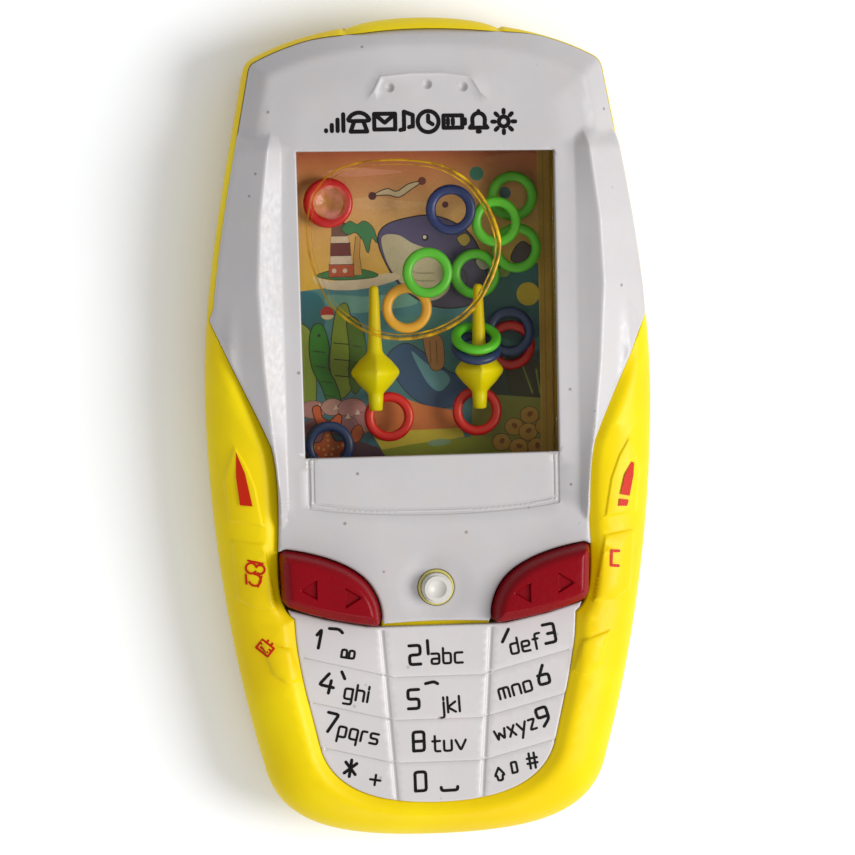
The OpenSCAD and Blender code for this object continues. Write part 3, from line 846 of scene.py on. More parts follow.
def bellows(side):
    """Rubber bellows with a lip, three folds and a closed top."""
    low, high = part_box(side + "_bellows")
    centre = ((low.x + high.x) / 2 / MM, (low.y + high.y) / 2 / MM)
    z0, z1 = low.z / MM, high.z / MM
    profile = [(0, z0 + 4.8), (2.8, z0 + 4.8), (4.4, z0 + 2), (4.4, z0), (6.5, z0), (6.5, z0 + 0.95),
               (5.3, z0 + 1)]
    for k in range(3):
        profile += [(r, z0 + rise + 1.25 * k) for r, rise in ((5.3, 1.3), (5.2, 1.7), (4.5, 2.1))]
    profile += [(3.6, z1 - 0.15), (3.3, z1), (0, z1)]
    piece = add_object(side + "_bellows_skin", *lathe(profile, centre), RUBBER)
    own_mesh(piece)
    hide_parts(side + "_bellows")


def filler_collar():
    """Rim of the filler neck, round the plug."""
    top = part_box("pump_deck")[1].z / MM
    inner = 2.76
    profile = [(r, top + rise) for r, rise in ((inner, -0.5), (inner, 0.5), (3.0, 0.62), (3.2, 0.4),
                                               (3.25, -0.5), (inner, -0.5))]
    add_object("filler_collar", *lathe(profile, FILLER), CREAM)


# ---------------------------------------------------------------- tank

def blob(points, n=6):
    """A smooth closed outline through a few points, anticlockwise."""
    p = np.array(points, float)
    if np.sum(p[:, 0] * np.roll(p[:, 1], -1) - np.roll(p[:, 0], -1) * p[:, 1]) < 0:
        p = p[::-1]
    a, b, c, d = np.roll(p, 1, 0), p, np.roll(p, -1, 0), np.roll(p, -2, 0)
    rows = []
    for k in range(n):
        t = k / n
        curve = t * (c - a) + t * t * (2 * a - 5 * b + 4 * c - d) + t ** 3 * (3 * b - 3 * c + d - a)
        rows.append(b + 0.5 * curve)
    return np.stack(rows, 1).reshape(-1, 2)


BUBBLE = blob([(-2.3, 48.2), (2.5, 47.3), (6.9, 44.8), (9.9, 41.4), (12.2, 36.4), (12.8, 32), (11, 26.4),
               (7.2, 20.9), (1.1, 17.4), (-6.1, 16.5), (-12.3, 18.4), (-17.5, 22.6), (-20.5, 28.6),
               (-21.7, 35), (-20.9, 41), (-17.9, 45.6), (-13.1, 47.8), (-7.1, 48.4)], 8)
LID_Z = 16.05
SHOULDER_Z = 16.2
TROUGH_FLOOR_Z = 3.6
TROUGH_BASE_Z = 2.0


def loop_tube(name, loop, radius, z, material):
    """A round bead along a closed outline; radius has one value for each of its points."""
    n, m = len(loop), 10
    angle = np.arange(m) * 2 * math.pi / m
    flat = loop[:, None, :] + outwards(loop)[:, None, :] * (radius[:, None] * np.cos(angle))[:, :, None]
    high = z + radius[:, None] * np.sin(angle)
    verts = np.concatenate([flat, high[:, :, None]], 2).reshape(-1, 3)
    return add_object(name, verts, wrapped(n, m), material)


def tank_box(x, y0, y1, step=2.0):
    """A rectangle across the phone between two heights of the plan."""
    return polyline([(-x, y0), (x, y0), (x, y1), (-x, y1), (-x, y0)], step)[:-1]


def tank_body():
    """Clear trough of the tank and the lower one of the pumps; the card is bonded into its floor."""
    low, high = (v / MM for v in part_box("tank_body"))
    step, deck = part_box("tank_window")[0].y / MM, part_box("pump_deck")[0].z / MM
    wall = 1.2
    outline = tank_box(high.x, low.y, high.y)

    def top(p):
        between = np.abs(p[:, 1] - step - wall / 2) < wall / 2
        rim = np.where(p[:, 1] > step, high.z, deck)
        return np.where(between | (gap_to(p, closed(outline)) < wall), rim, TROUGH_FLOOR_Z)

    across = polyline([(0.05 - high.x, step), (high.x - 0.05, step)], 2)
    sides = (wall - 0.03, wall + 0.03)
    piece = plan_solid("tank_trough", [outline], top, level(TROUGH_BASE_Z), AMBER, spacing=5, steps=sides,
                       marks=[(across, (-0.03, 0.03, *sides))])
    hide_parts("tank_body")


DROP_AT = (-17.3, 41.0)
DROP_R = 3.1


def tank_window():
    """Clear front of the tank with the water under it, an air bubble in it and a hanging drop."""
    low, high = (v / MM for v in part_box("tank_window"))
    outline = tank_box(high.x, low.y, high.y)
    lens = closed(grown(WINDOW, -0.15))
    cavity = closed(grown(WINDOW, -0.9))

    def inside(p, loop):
        return within(p, loop[:-1])

    def top(p):
        return np.where(inside(p, lens), high.z - fillet(gap_to(p, lens), 0.35), SHOULDER_Z)

    def base(p):
        air = within(p, BUBBLE)
        drop = np.sqrt(np.clip(1 - np.hypot(*(p - DROP_AT).T) / DROP_R, 0, 1)) * 1.3
        return np.where(inside(p, cavity), np.where(air, LID_Z + 0.05 - drop, LID_Z - 1.05), low.z)

    marks = [(lens, (-0.04, 0.04, 0.1, 0.2, 0.35, 0.8)), (cavity, (-0.03, 0.03)),
             (closed(BUBBLE), (-0.05, 0.05, 0.4, -0.4))]
    rows = (0.6, 1.2, 1.8, 2.3, 2.7, 2.95, 3.08, 3.2)
    marks += [(closed(ring_line(DROP_AT, r, 40)), (0,)) for r in rows]
    piece = plan_solid("tank_lens", [outline], top, base, AMBER, spacing=3, steps=(0.5,), marks=marks)
    for material in (WATER, DROP):
        piece.data.materials.append(material)
    for face in piece.data.polygons:
        centre = np.array([face.center[:2]]) / MM
        if face.normal.z < -0.05 and inside(centre, cavity)[0]:
            in_drop = np.hypot(*(centre - DROP_AT).T)[0] < DROP_R
            face.material_index = 2 if in_drop else 0 if within(centre, BUBBLE)[0] else 1
    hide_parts("tank_window")


def bubble():
    """The rim of the air bubble, coloured as a painted highlight, and thicker towards the lower right, where
    the lamp is.
    """
    lit = ramp((BUBBLE - BUBBLE.mean(0)) @ (0.8, -0.6), -10, 12)
    loop_tube("bubble_rim_highlight", BUBBLE, 0.2 + 0.15 * lit, LID_Z - 0.95, RIM_HIGHLIGHT)
    loop_tube("bubble_fold", grown(BUBBLE, -0.75), 0.06 + 0.1 * lit, LID_Z - 0.6, RIM_HIGHLIGHT)


def torus(name, material, body):
    """A smooth ring in place of a packed one, leaning as it does."""
    low, high = (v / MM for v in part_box(name))
    centre = (low + high) / 2
    outer, minor, deep, full = (high.x - low.x) / 2, 0.9, 0.75, 0.85
    lean = math.radians(-55 if high.z - low.z > 3 else 0)
    turn = Matrix.Rotation(lean, 3, "X")
    n, m, verts = 80, 20, []
    for i in range(n):
        a = 2 * math.pi * i / n
        for j in range(m):
            b = 2 * math.pi * j / m
            r = outer - minor + minor * math.copysign(abs(math.cos(b)) ** full, math.cos(b))
            z = deep * math.copysign(abs(math.sin(b)) ** full, math.sin(b))
            verts.append(centre + turn @ Vector((r * math.cos(a), r * math.sin(a), z)))
    piece = add_object(name + "_bead", verts, wrapped(n, m), material, body)
    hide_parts(name)
    return piece


def rings():
    """The fifteen loose rings, each in its colour."""
    for name in [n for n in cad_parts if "_ring" in n]:
        colour = name.split("_")[0]
        torus(name, RING_COLOURS[colour], name)


# The peg's radius at points along it, measured from the middle of its diamond.
PEG_PROFILE = ((-7, 0), (-7, 0.95), (-6.8, 1.2), (-4.8, 1.35), (-3.9, 1.4), (-3.5, 1.75), (-2.2, 3),
               (-0.6, 4.25), (0, 4.4), (0.6, 4.2), (2.2, 2.9), (3.2, 1.75), (3.9, 1.35), (6, 1.2),
               (15, 0.85), (15.5, 0.7), (15.7, 0.4), (15.72, 0))
PEG_Z = 9.0


def peg(side):
    """Yellow peg lying over the picture: a spike, a diamond with four soft ridges and a foot."""
    low, high = (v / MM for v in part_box(side + "_peg"))
    x, y, n = (low.x + high.x) / 2, high.y - 15.7, 64
    verts, rows = [], []
    for along, r in PEG_PROFILE:
        start = len(verts)
        ridge = 0.55 * max(0, min(1, (r - 1.3) / 1.5))
        for k in range(1 if r == 0 else n):
            a = 2 * math.pi * k / n
            rr = r / (abs(math.cos(a)) + abs(math.sin(a))) ** ridge
            verts.append((x + rr * math.cos(a), y + along, PEG_Z + rr * math.sin(a)))
        rows.append([start + (0 if r == 0 else k) for k in range(n)])
    faces = [face[:1] + face[:0:-1] for face in skin(rows)]
    foot, foot_faces = lathe([(0, low.z), (1.5, low.z), (1.5, 8.2), (0, 8.2)], (x, y), 40)
    faces += [[i + len(verts) for i in f] for f in foot_faces]
    piece = add_object(side + "_peg_spike", verts + foot, faces, PEG_YELLOW, sharp=50)
    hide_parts(side + "_peg")


# ---------------------------------------------------------------- prints

# Strokes of each glyph on a small grid: first digit across, second digit up; 2 is the base line.
GLYPHS = {
    "0": "02 32 38 08 02", "1": "06 18 12", "2": "08 38 35 05 02 32", "3": "08 38 32 02|15 35",
    "4": "28 04 44|36 32", "5": "38 08 05 35 32 02", "6": "28 04 02 32 35 05", "7": "08 38 12",
    "8": "02 32 38 08 02|05 35", "9": "35 05 08 38 34 12", "a": "06 36 32 02 04 34", "b": "08 02 32 36 06",
    "c": "36 06 02 32", "d": "38 32 02 06 36", "e": "04 34 36 06 02 32", "f": "38 18 12|06 26",
    "g": "36 06 02 32|36 30 00", "h": "08 02|06 36 32", "i": "06 02|08 07", "j": "26 20 00|28 27",
    "k": "08 02|36 04 32", "l": "08 02", "m": "02 06 46 42|26 22", "n": "02 06 36 32", "o": "02 32 36 06 02",
    "p": "00 06 36 32 02", "q": "30 36 06 02 32", "r": "02 06 26", "s": "36 06 04 34 32 02",
    "t": "18 12 32|06 36", "u": "06 02 32 36", "v": "06 22 46", "w": "06 12 25 42 56", "x": "06 32|02 36",
    "y": "06 23|46 10", "z": "06 36 02 32", "#": "18 12|38 32|06 46|04 44", "*": "28 22|07 43|03 47",
    "+": "26 22|04 44", "~": "07 37 46", "/": "38 26 14", "|": "18 14", "`": "07 15",
    "^": "27 04 14 12 32 34 44 27",
    "_": "03 02 52 53", "%": "02 05 25 22|32 35 55 52 02",
}


def glyph(char):
    """The strokes of a glyph, as lines with rounded corners."""
    strokes = []
    for stroke in GLYPHS[char].split("|"):
        points = [np.array((int(p[0]), int(p[1])), float) for p in stroke.split()]
        line = [points[0]]
        for a, b, c in zip(points[:-2], points[1:-1], points[2:]):
            into, out = b + (a - b) * 0.75 / math.dist(a, b), b + (c - b) * 0.75 / math.dist(b, c)
            line += [into, 0.25 * into + 0.5 * b + 0.25 * out, out]
        strokes.append(np.array(line + [points[-1]]))
    return strokes


def word(text, centre, height, turn=0.0, wide=1.0):
    """The strokes of a short row of glyphs, as tall as height, about a centre."""
    unit, x, lines = height / 6, 0.0, []
    for char in text:
        strokes = glyph(char)
        lines += [(line + (x, -5)) * (unit * wide, unit) for line in strokes]
        x += max(line[:, 0].max() for line in strokes) + 1.6
    middle = (x - 1.6) * unit * wide / 2
    return [moved(line - (middle, 0), *centre, turn) for line in lines]


INK_THICK = 0.05


def ink_layer(name, plan, height, material):
    """A thin layer over a triangulated plan, on a surface whose height is known."""
    verts, faces = plan
    z = height(verts)
    add_object(name, *slab(verts, faces, z + INK_THICK, z - INK_THICK), material)


def printed(name, strokes, half, height, material):
    """Ink along strokes, half of their width to each side."""
    strokes = [line if len(line) > 1 else np.vstack([line, line + 0.01]) for line in strokes]
    capsules = []
    for line in strokes:
        for a, b in zip(line[:-1], line[1:]):
            run = math.atan2(*(b - a)[::-1])
            turn = run + math.pi / 2 + np.arange(6) * math.pi / 5
            cap = half * np.c_[np.cos(turn), np.sin(turn)]
            capsules.append(np.vstack([a + cap, b - cap]))
    ink_layer(name, triangulated(capsules, [], lambda p: gap_to(p, *strokes) < half), height, material)


def filled(name, loops, height, material):
    """Solid ink areas."""
    loops = [np.asarray(loop, float) for loop in loops]
    plan = triangulated(loops, [], lambda p: np.any([within(p, loop) for loop in loops], axis=0))
    ink_layer(name, plan, height, material)


def arc(centre, radius, start, end, n=14):
    """A round arc between two directions in degrees."""
    angle = np.radians(np.linspace(start, end, n))
    return np.array(centre) + radius * np.c_[np.cos(angle), np.sin(angle)]


def lines(*strokes):
    """Strokes as arrays."""
    return [np.array(s, float) for s in strokes]


def box_line(x, y):
    """A rectangle about 0, from its lower left corner."""
    return (-x, -y), (x, -y), (x, y), (-x, y), (-x, -y)


def pictograms():
    """Row of plain pictograms over the window, in place of a printed word."""
    bars = lines(*[((x, -1.7), (x, 0.9 * x - 0.1)) for x in (-1.6, -0.55, 0.5, 1.55)])
    handset = [arc((0, -0.5), 2.1, 25, 155), *lines(((1.8, 0.2), (1.2, 0.1)), ((-1.8, 0.2), (-1.2, 0.1)),
               ((-1.5, -1.8), (-0.8, 0.1), (0.8, 0.1), (1.5, -1.8), (-1.5, -1.8)))]
    letter = lines(box_line(1.9, 1.4), ((-1.8, 1.3), (0, -0.2), (1.8, 1.3)))
    note = lines(((-1.1, -1.5), (-0.7, -1.4)), ((-0.4, -1.4), (-0.4, 1.8), (1.2, 1.2), (1.2, -0.9)),
                 ((0.5, -1), (0.9, -0.9)))
    clock = [arc((0, 0), 1.9, 0, 360, 25), *lines(((0, 1.1), (0, 0), (0.8, -0.5)))]
    battery = lines(((-1.9, -1.1), (1.5, -1.1), (1.5, 1.1), (-1.9, 1.1), (-1.9, -1.1)), ((2, -0.4), (2, 0.4)),
                    ((-1.1, -0.4), (-1.1, 0.4)), ((-0.2, -0.4), (-0.2, 0.4)))
    dome = [[(-1.6, -1.1), (-1.1, -0.5)], arc((0, 0.4), 1.15, 180, 0),
            [(1.1, -0.5), (1.6, -1.1), (-1.6, -1.1)]]
    bell = [np.vstack(dome), *lines(((0, 1.6), (0, 1.9)), ((-0.2, -1.8), (0.2, -1.8)))]
    rays = [moved([(1.6, 0), (2.1, 0)], turn=a) for a in range(0, 360, 45)]
    sun = [arc((0, 0), 0.9, 0, 360, 17), *rays]
    strokes, x, size, space = [], -18.1, 0.98, 0.88
    for icon in (bars, handset, letter, note, clock, battery, bell, sun):
        left, right = (f([f(line[:, 0]) for line in icon]) * size for f in (min, max))
        strokes += [moved(line, x - left, 55.2 - 0.013 * (x + 18), size=size) for line in icon]
        x += right - left + space
    printed("pictogram_row", strokes, 0.37, cover_height, BLACK_INK)


def key_legends():
    """Digits and letters of a phone's dial, with short strokes between them."""
    bold, fine = [], []
    for text, centre, turn in (("1", (-21.3, -36.9), -12), ("4", (-19.9, -45), -15),
                               ("7", (-19.3, -52.2), -15), ("2", (-4, -40.4), 2), ("5", (-4.4, -48.4), 1),
                               ("8", (-3.6, -56.1), 1), ("0", (-3.4, -63.4), 1), ("3", (20.5, -37.3), 10),
                               ("6", (19.2, -44.8), 13), ("9", (19.1, -52.5), 17)):
        bold += word(text, centre, 3.4, turn, 1.15)
    for text, centre, size, turn in (("~", (-18.2, -36.5), 3.6, -6), ("|", (-1.9, -39.7), 3.6, 3),
                                     ("/", (12.2, -38), 3.4, 0), ("`", (-17, -44.3), 3.6, -5),
                                     ("~", (-0.9, -46.5), 3.2, 12), ("*", (-16, -60.6), 3.0, -10)):
        bold += word(text, centre, size, turn)
    for text, centre, turn in (("%", (-15.9, -39.2), -10), ("ghi", (-14.6, -46.9), -11),
                               ("pqrs", (-14.4, -54.2), -14), ("+", (-11.5, -62.4), -10),
                               ("abc", (1.8, -40.7), 1), ("jkl", (2, -49.6), 3), ("tuv", (1.9, -56.6), 1),
                               ("def", (16.1, -39), 10), ("mno", (14, -46.9), 14), ("^", (10.9, -62.4), 10),
                               ("#", (17, -60.4), 8)):
        fine += word(text, centre, 2.75, turn)
    bold += word("_", (1.8, -63.4), 3.6, 1)
    fine += word("wxyz", (13.9, -54.2), 2.75, 16, 0.84)
    fine += word("0", (13.7, -61.5), 1.9, 10)
    printed("key_digits", bold, 0.28, key_height, BLACK_INK)
    printed("key_letters", fine, 0.215, key_height, BLACK_INK)


def side_prints():
    """Small red marks on the yellow pads."""
    sail = [[(-35.3, -3), (-33.8, -6.8), (-32.6, -12.7), (-34.8, -12.5), (-35.4, -7.4)],
            [(36.6, -5.2), (34.6, -8.8), (33.7, -12.3), (35.5, -12.7), (36.3, -9)],
            [(33.5, -13.1), (35.3, -13.4), (35, -14.5), (33.2, -14.4)]]
    filled("red_marks", sail, frame_height, RED_INK)
    coil = [moved(line, -32.5, -24.8, -8) for line in (
        arc((-0.7, 0.9), 0.95, 20, 330), arc((0.9, 0.9), 0.8, 150, -120), arc((0.2, -1.1), 1.05, -150, 100),
        *lines(((-1.4, 2.2), (1.2, 2.0)), ((-1.5, -0.4), (-1.2, -2)), ((1.3, -0.3), (0.9, -2.2))))]
    book = [moved(line, -30.9, -38.3, -38) for line in lines(
        ((-1.3, -0.9), (1.2, -0.9), (1.2, 1), (-1.3, 1), (-1.3, -0.9)), ((-1.3, 0.3), (1.2, 0.3)),
        ((-0.7, -0.3), (0.7, -0.3)), ((-0.4, 1), (-0.4, 1.5)), ((0.5, 1), (0.5, 1.5)))]
    bracket = lines(((33.3, -22.6), (31.9, -22.5), (31.8, -25.1), (33.2, -25.3)))
    printed("red_icons", coil + book, 0.19, frame_height, RED_INK)
    printed("red_bracket", bracket, 0.27, frame_height, RED_INK)


# ---------------------------------------------------------------- picture card

INK = (38, 32, 34)


class Painting:
    """Areas of the picture: outline, colours at its top and bottom; later ones cover earlier ones."""

    def __init__(self, node):
        self.low, self.high = (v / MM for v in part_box(node))
        self.areas = []

    def flat(self, loop, top, bottom=None, outline=0.0, edge=INK):
        """An area between some corners, with a line round it if outline isn't 0; colours are 0 to 255."""
        loop = np.asarray(loop, float)
        if outline:
            self.areas.append((grown(loop, outline), srgb(*edge), srgb(*edge)))
        self.areas.append((loop, srgb(*top), srgb(*(bottom or top))))

    def soft(self, points, *colours, n=6, **values):
        """An area with a smooth outline through some points."""
        self.flat(blob(points, n), *colours, **values)

    def spot(self, x, y, rx, ry, colour, turn=0.0, n=24, **values):
        """An oval."""
        self.flat(moved(ring_line((0, 0), 1, n) * (rx, ry), x, y, turn), colour, **values)

    def across(self, y0, y1, top, bottom):
        """The whole width of the card between two heights."""
        self.flat([(self.low.x, y0), (self.high.x, y0), (self.high.x, y1), (self.low.x, y1)], top, bottom)


def paint_sky(p):
    """Evening sky, clouds, dots and a plain gull."""
    sky, haze, glow = (214, 104, 74), (250, 200, 136), (250, 210, 84)
    p.across(p.low.y, p.high.y, sky, haze)
    p.across(40, p.high.y, sky, haze)
    p.across(24, 40, haze, glow)
    p.soft([(-17, 47), (-13, 47.6), (-8, 47.3), (-3, 46.7), (-8, 46.2), (-14, 46)], (246, 172, 140))
    p.soft([(-14, 41.6), (-9, 42.2), (-3, 41.4), (4, 40.8), (-4, 40), (-12, 40.2)], (252, 206, 150))
    p.soft([(12, 49), (20, 50), (23, 47.5), (17, 46.8)], (240, 150, 110))
    p.soft([(-8.4, 42.6), (-6.2, 43.6), (-4.4, 43.1), (-2.2, 44.4), (0, 44.8), (-2, 43.4), (-4, 42.2),
            (-6, 42.6)], (240, 226, 190), outline=0.18)
    for x, y, r, colour in ((-8.9, 42.4, 0.75, (96, 50, 66)), (0.3, 45, 0.75, (130, 66, 60)),
                            (10.4, 46.2, 1.3, (60, 150, 150)), (15.6, 42.6, 1.1, (66, 120, 160)),
                            (5.2, 37, 0.8, (110, 60, 80)), (4.5, 40.6, 0.6, (120, 70, 84))):
        p.spot(x, y, r, r, colour)


def paint_sea(p):
    """Sea with its waves and the darker deep."""
    p.flat([(p.low.x, p.low.y), (p.high.x, p.low.y), (p.high.x, 29.3), (16, 29), (8, 27.6), (-4, 27.2),
            (p.low.x, 25)], (88, 164, 186), (52, 108, 156))
    p.soft([(-24, 24), (-20, 25), (-18, 22), (-19, 17), (-24, 16)], (40, 130, 170), (40, 100, 120))
    p.soft([(-17.5, 24.4), (-10, 24), (-3, 24.6), (-1, 22.6), (-6, 21.6), (-13, 21), (-17, 22)],
           (126, 196, 196))
    p.soft([(-4, 20), (2, 20.6), (8, 19.6), (6, 17), (0, 16.4), (-5, 17.4)], (84, 160, 170))
    p.soft([(12, 28.6), (18, 28.9), (24, 29), (24, 19), (19, 15), (13, 17), (11, 22)], (64, 134, 164),
           (52, 104, 130))
    p.spot(19.6, 23.9, 2.15, 2.15, (236, 210, 70))
    p.spot(15, 28, 1.3, 0.9, (170, 196, 120))


def paint_whale(p):
    """Whale with a pale, lined belly; its tail stands out of the sea."""
    p.soft([(16.6, 30.4), (17.4, 32.4), (18.8, 33.5), (20.3, 32.6), (22.3, 32.2), (21.4, 30.4), (19.9, 29.2),
            (18, 29.6)], (104, 92, 122), n=4, outline=0.2)
    p.soft([(-7.7, 35.6), (-6, 37.2), (-2.4, 38.2), (1.4, 38.6), (5, 37.7), (8.6, 35.4), (10.8, 31.6),
            (11.9, 27), (10.6, 23.4), (7, 21.8), (2.4, 22), (-1.8, 24), (-4.8, 27), (-6.8, 30.6),
            (-7.8, 33.4)], (106, 104, 160), (84, 84, 120), 0.24)
    p.soft([(-7.3, 34.8), (-4.4, 35.2), (-1.6, 33.6), (1.8, 32.2), (4.2, 30), (5.4, 27.6), (4.6, 24.6),
            (1.6, 23), (-1.8, 24.4), (-4.6, 27.2), (-6.6, 30.7)], (226, 222, 196), (214, 214, 190))
    for y in (26.4, 27.8, 29.2):
        p.soft([(-3.4, y), (-1, y - 0.9), (2, y - 1), (2, y - 1.25), (-1, y - 1.15)], (176, 176, 158), n=3)
    p.spot(0.7, 34.6, 0.62, 0.62, INK)
    p.spot(0.6, 34.7, 0.34, 0.34, (250, 250, 240))
    p.soft([(5, 27.4), (7.4, 28.6), (8.2, 26.2), (6.4, 24)], (90, 88, 124), outline=0.16)
    p.soft([(10, 30.2), (11.2, 30.6), (12.4, 29), (11, 28.6)], (230, 232, 222), outline=0.15)
    p.soft([(6.6, 34.4), (8.2, 35.2), (9, 34), (7.8, 32.9)], (226, 206, 100), n=3, outline=0.12)


def paint_island(p):
    """Island with a lighthouse, from its foot to its lamp, and a palm."""
    p.soft([(-19.8, 28), (-17, 27), (-12, 27.4), (-6, 28.2), (-4, 27.4), (-7, 26.2), (-12, 25.3), (-17, 25.4),
            (-19.6, 26.6)], (246, 236, 214))
    p.soft([(-19.4, 28), (-16, 29), (-13, 29.2), (-9.6, 28.6), (-8.2, 27.8), (-11, 27.3), (-16, 27.2)],
           (70, 150, 92), outline=0.12)
    for x0, x1, y0, y1, colour in ((-17.2, -12.4, 27.7, 30, (204, 96, 62)),
                                   (-16.9, -12.8, 30, 31.6, (246, 232, 214)),
                                   (-16.8, -13.1, 31.6, 33.9, (128, 62, 66)),
                                   (-16.7, -13.4, 33.9, 35.2, (246, 232, 214)),
                                   (-16.5, -13.7, 35.2, 37.4, (134, 104, 96))):
        p.flat([(x0, y0), (x1, y0), (x1 - 0.1, y1), (x0 + 0.1, y1)], colour, outline=0.12)
    p.flat([(-16.3, 37.4), (-14, 37.4), (-14.6, 38.6), (-15.8, 38.6)], (96, 70, 74), outline=0.1)
    for x in (-16.2, -14.2):
        p.spot(x, 28.8, 0.42, 0.42, (240, 226, 206))
    p.flat([(-12.5, 28), (-11.1, 28), (-11.5, 31.4), (-11.3, 35), (-12.1, 35.1), (-12.5, 31.4)],
           (226, 178, 96), outline=0.1)
    p.soft([(-14.6, 36.4), (-13.2, 37.8), (-11.8, 37.2), (-10.4, 37.8), (-8.8, 36.4), (-8.2, 33.8),
            (-9.2, 34.8), (-9.9, 32), (-10.8, 34.4), (-12.2, 35.8), (-13.4, 35.4)], (70, 156, 104), n=4,
           outline=0.12)


def paint_seaweed(p):
    """Four leaves on the left with cross marks, and a float."""
    p.soft([(-24, 18), (-21, 18), (-20, 12), (-20.4, 4), (-24, 3)], (150, 178, 80), (132, 160, 60), 0.15)
    p.soft([(-16.4, 19.4), (-15.6, 22), (-14, 22.6), (-13.2, 18.6), (-13, 13), (-13, 8), (-15.8, 5.4),
            (-17.2, 10.8), (-17, 15)], (150, 178, 70), (128, 158, 52), 0.17)
    p.soft([(-14, 19.6), (-12.4, 20), (-11, 17.2), (-10.6, 13), (-11, 9), (-12.8, 6.2), (-13.8, 9),
            (-13.6, 14)], (84, 128, 52), (66, 104, 44), 0.17)
    p.soft([(-20.4, 18.4), (-18.7, 18.9), (-17.5, 15.2), (-17.7, 11.2), (-16.3, 8), (-15.6, 4.8),
            (-17.2, 3.1), (-18.7, 7.2), (-20.5, 11), (-21, 15)], (52, 148, 56), (40, 122, 46), 0.2)
    for y, x0, x1 in ((15.6, -16.6, -13.6), (12.6, -16.6, -13.4), (9.6, -16.4, -13.4), (14.2, -20.4, -18.1),
                      (11.4, -20, -18), (8.6, -19, -16.9), (6, -18.2, -16.4), (12, -13, -11.2),
                      (15, -13, -11.4)):
        p.flat([(x0, y - 0.1), (x1, y - 0.45), (x1, y - 0.25), (x0, y + 0.12)], (36, 66, 34))
    p.spot(-19.2, 17, 0.3, 0.3, INK)
    p.spot(-17.6, 21.1, 1.25, 1.25, (196, 44, 50))
    p.soft([(-18.7, 20.7), (-16.5, 20.7), (-17, 20), (-18.2, 20)], (240, 224, 200), n=3)


def paint_fish(p):
    """Fish with a pale belly, and driftwood."""
    p.soft([(-6.6, 13), (-3.4, 15.2), (0, 13.4), (4.4, 10), (8.8, 7.6), (7.4, 4.4), (2.4, 3.2), (-1.8, 5),
            (-5.2, 9)], (60, 104, 178), (50, 88, 160), 0.18)
    p.soft([(-2.2, 13.8), (0.6, 11.4), (3.8, 9.9), (4.8, 8.2), (3, 6.3), (1, 7.4), (-0.8, 10.4)],
           (112, 180, 226))
    p.soft([(0, 16.4), (1.6, 17), (3.4, 16), (3.8, 12), (3.2, 10.4), (1.8, 10.2), (0.8, 12)], (202, 146, 104),
           outline=0.12)
    for x in (1.2, 2.4):
        p.flat([(x, 11.4), (x + 0.2, 11.4), (x + 0.1, 15.6), (x - 0.1, 15.6)], (150, 96, 66))


def paint_reef(p):
    """Sea bed on the right: dark reef, olive ground, a heap of pebbles and two blades of grass."""
    p.flat([(12, 12), (24, 14), (24, 4), (10, 5)], (64, 96, 116), (58, 74, 80))
    p.soft([(16, 13), (20, 12), (23, 8), (21, 5), (16, 6)], (70, 72, 62), outline=0.1)
    p.flat([(9, 5.8), (24, 4.4), (24, -10), (8, -10)], (160, 166, 84), (140, 150, 60))
    p.soft([(-10, 4.8), (-5, 5.4), (0, 3.8), (6, 2.4), (7.4, 0), (4, -1.6), (-4, -1.6), (-10, -1.2)],
           (236, 140, 92), (226, 128, 76))
    p.flat([(-10, -1), (6.6, -0.6), (7.4, -2.2), (0, -3.4), (-8, -4.4)], (232, 216, 80))
    p.flat([(-9, -4.4), (-1, -3.2), (9, -2.2), (14, -2.6), (14, -10), (-9, -10)], (160, 176, 58),
           (140, 160, 50), 0.1)
    p.spot(2.6, -3.2, 2.2, 0.65, (150, 190, 176), 4)
    for x, y in ((19.5, 1.5), (16.6, -0.6), (19.2, -1.6), (22.3, -0.6), (14.2, -3.4), (17.4, -4.4),
                 (20.8, -4.4), (23.6, -3.6)):
        turns = np.arange(6) * math.pi / 3 + 0.3 * x
        p.soft([(x + 1.7 * math.cos(a), y + 1.55 * math.sin(a)) for a in turns], (222, 178, 92),
               (206, 160, 76), 0.14, (110, 78, 40))
        p.spot(x + 0.1, y + 0.2, 0.6, 0.45, (160, 100, 50), 30 * x)
    p.flat([(20, 5.4), (20.3, 5.6), (18.4, 11), (18.1, 11)], (150, 170, 90))
    p.flat([(21.4, 5.4), (21.7, 5.4), (21, 10), (20.7, 10)], (150, 170, 90))


def paint_pebbles(p):
    """Sea bed on the left: pink pebbles with pale flecks, and coral."""
    for x, y, rx, ry, colour in ((-20.6, 3.4, 2.4, 1.6, (190, 140, 160)),
                                 (-17, 3.8, 2, 1.5, (206, 160, 176)),
                                 (-13.4, 3.4, 2.6, 1.9, (200, 142, 170)),
                                 (-11.4, 0.8, 2.2, 1.9, (184, 128, 158)),
                                 (-15, 0.4, 2.6, 1.8, (170, 116, 146)),
                                 (-19.6, -0.4, 3, 2.2, (150, 100, 130))):
        p.spot(x, y, rx, ry, colour, outline=0.12, edge=(110, 64, 90))
    for x, y in ((-16.4, 3.6), (-14.2, 1.9), (-12.4, 2.6), (-19.4, 3.8), (-11.6, -0.4)):
        p.flat([(x, y + 0.7), (x + 0.5, y - 0.2), (x - 0.5, y - 0.3)], (236, 220, 226))
    p.soft([(-20.6, 3.6), (-19.4, 3.9), (-19, 2), (-17.6, 1.2), (-16, 2.4), (-15.4, 1.6), (-16.4, -0.4),
            (-19.4, -0.4), (-20, 1)], (224, 104, 70), outline=0.22, edge=(96, 24, 24))


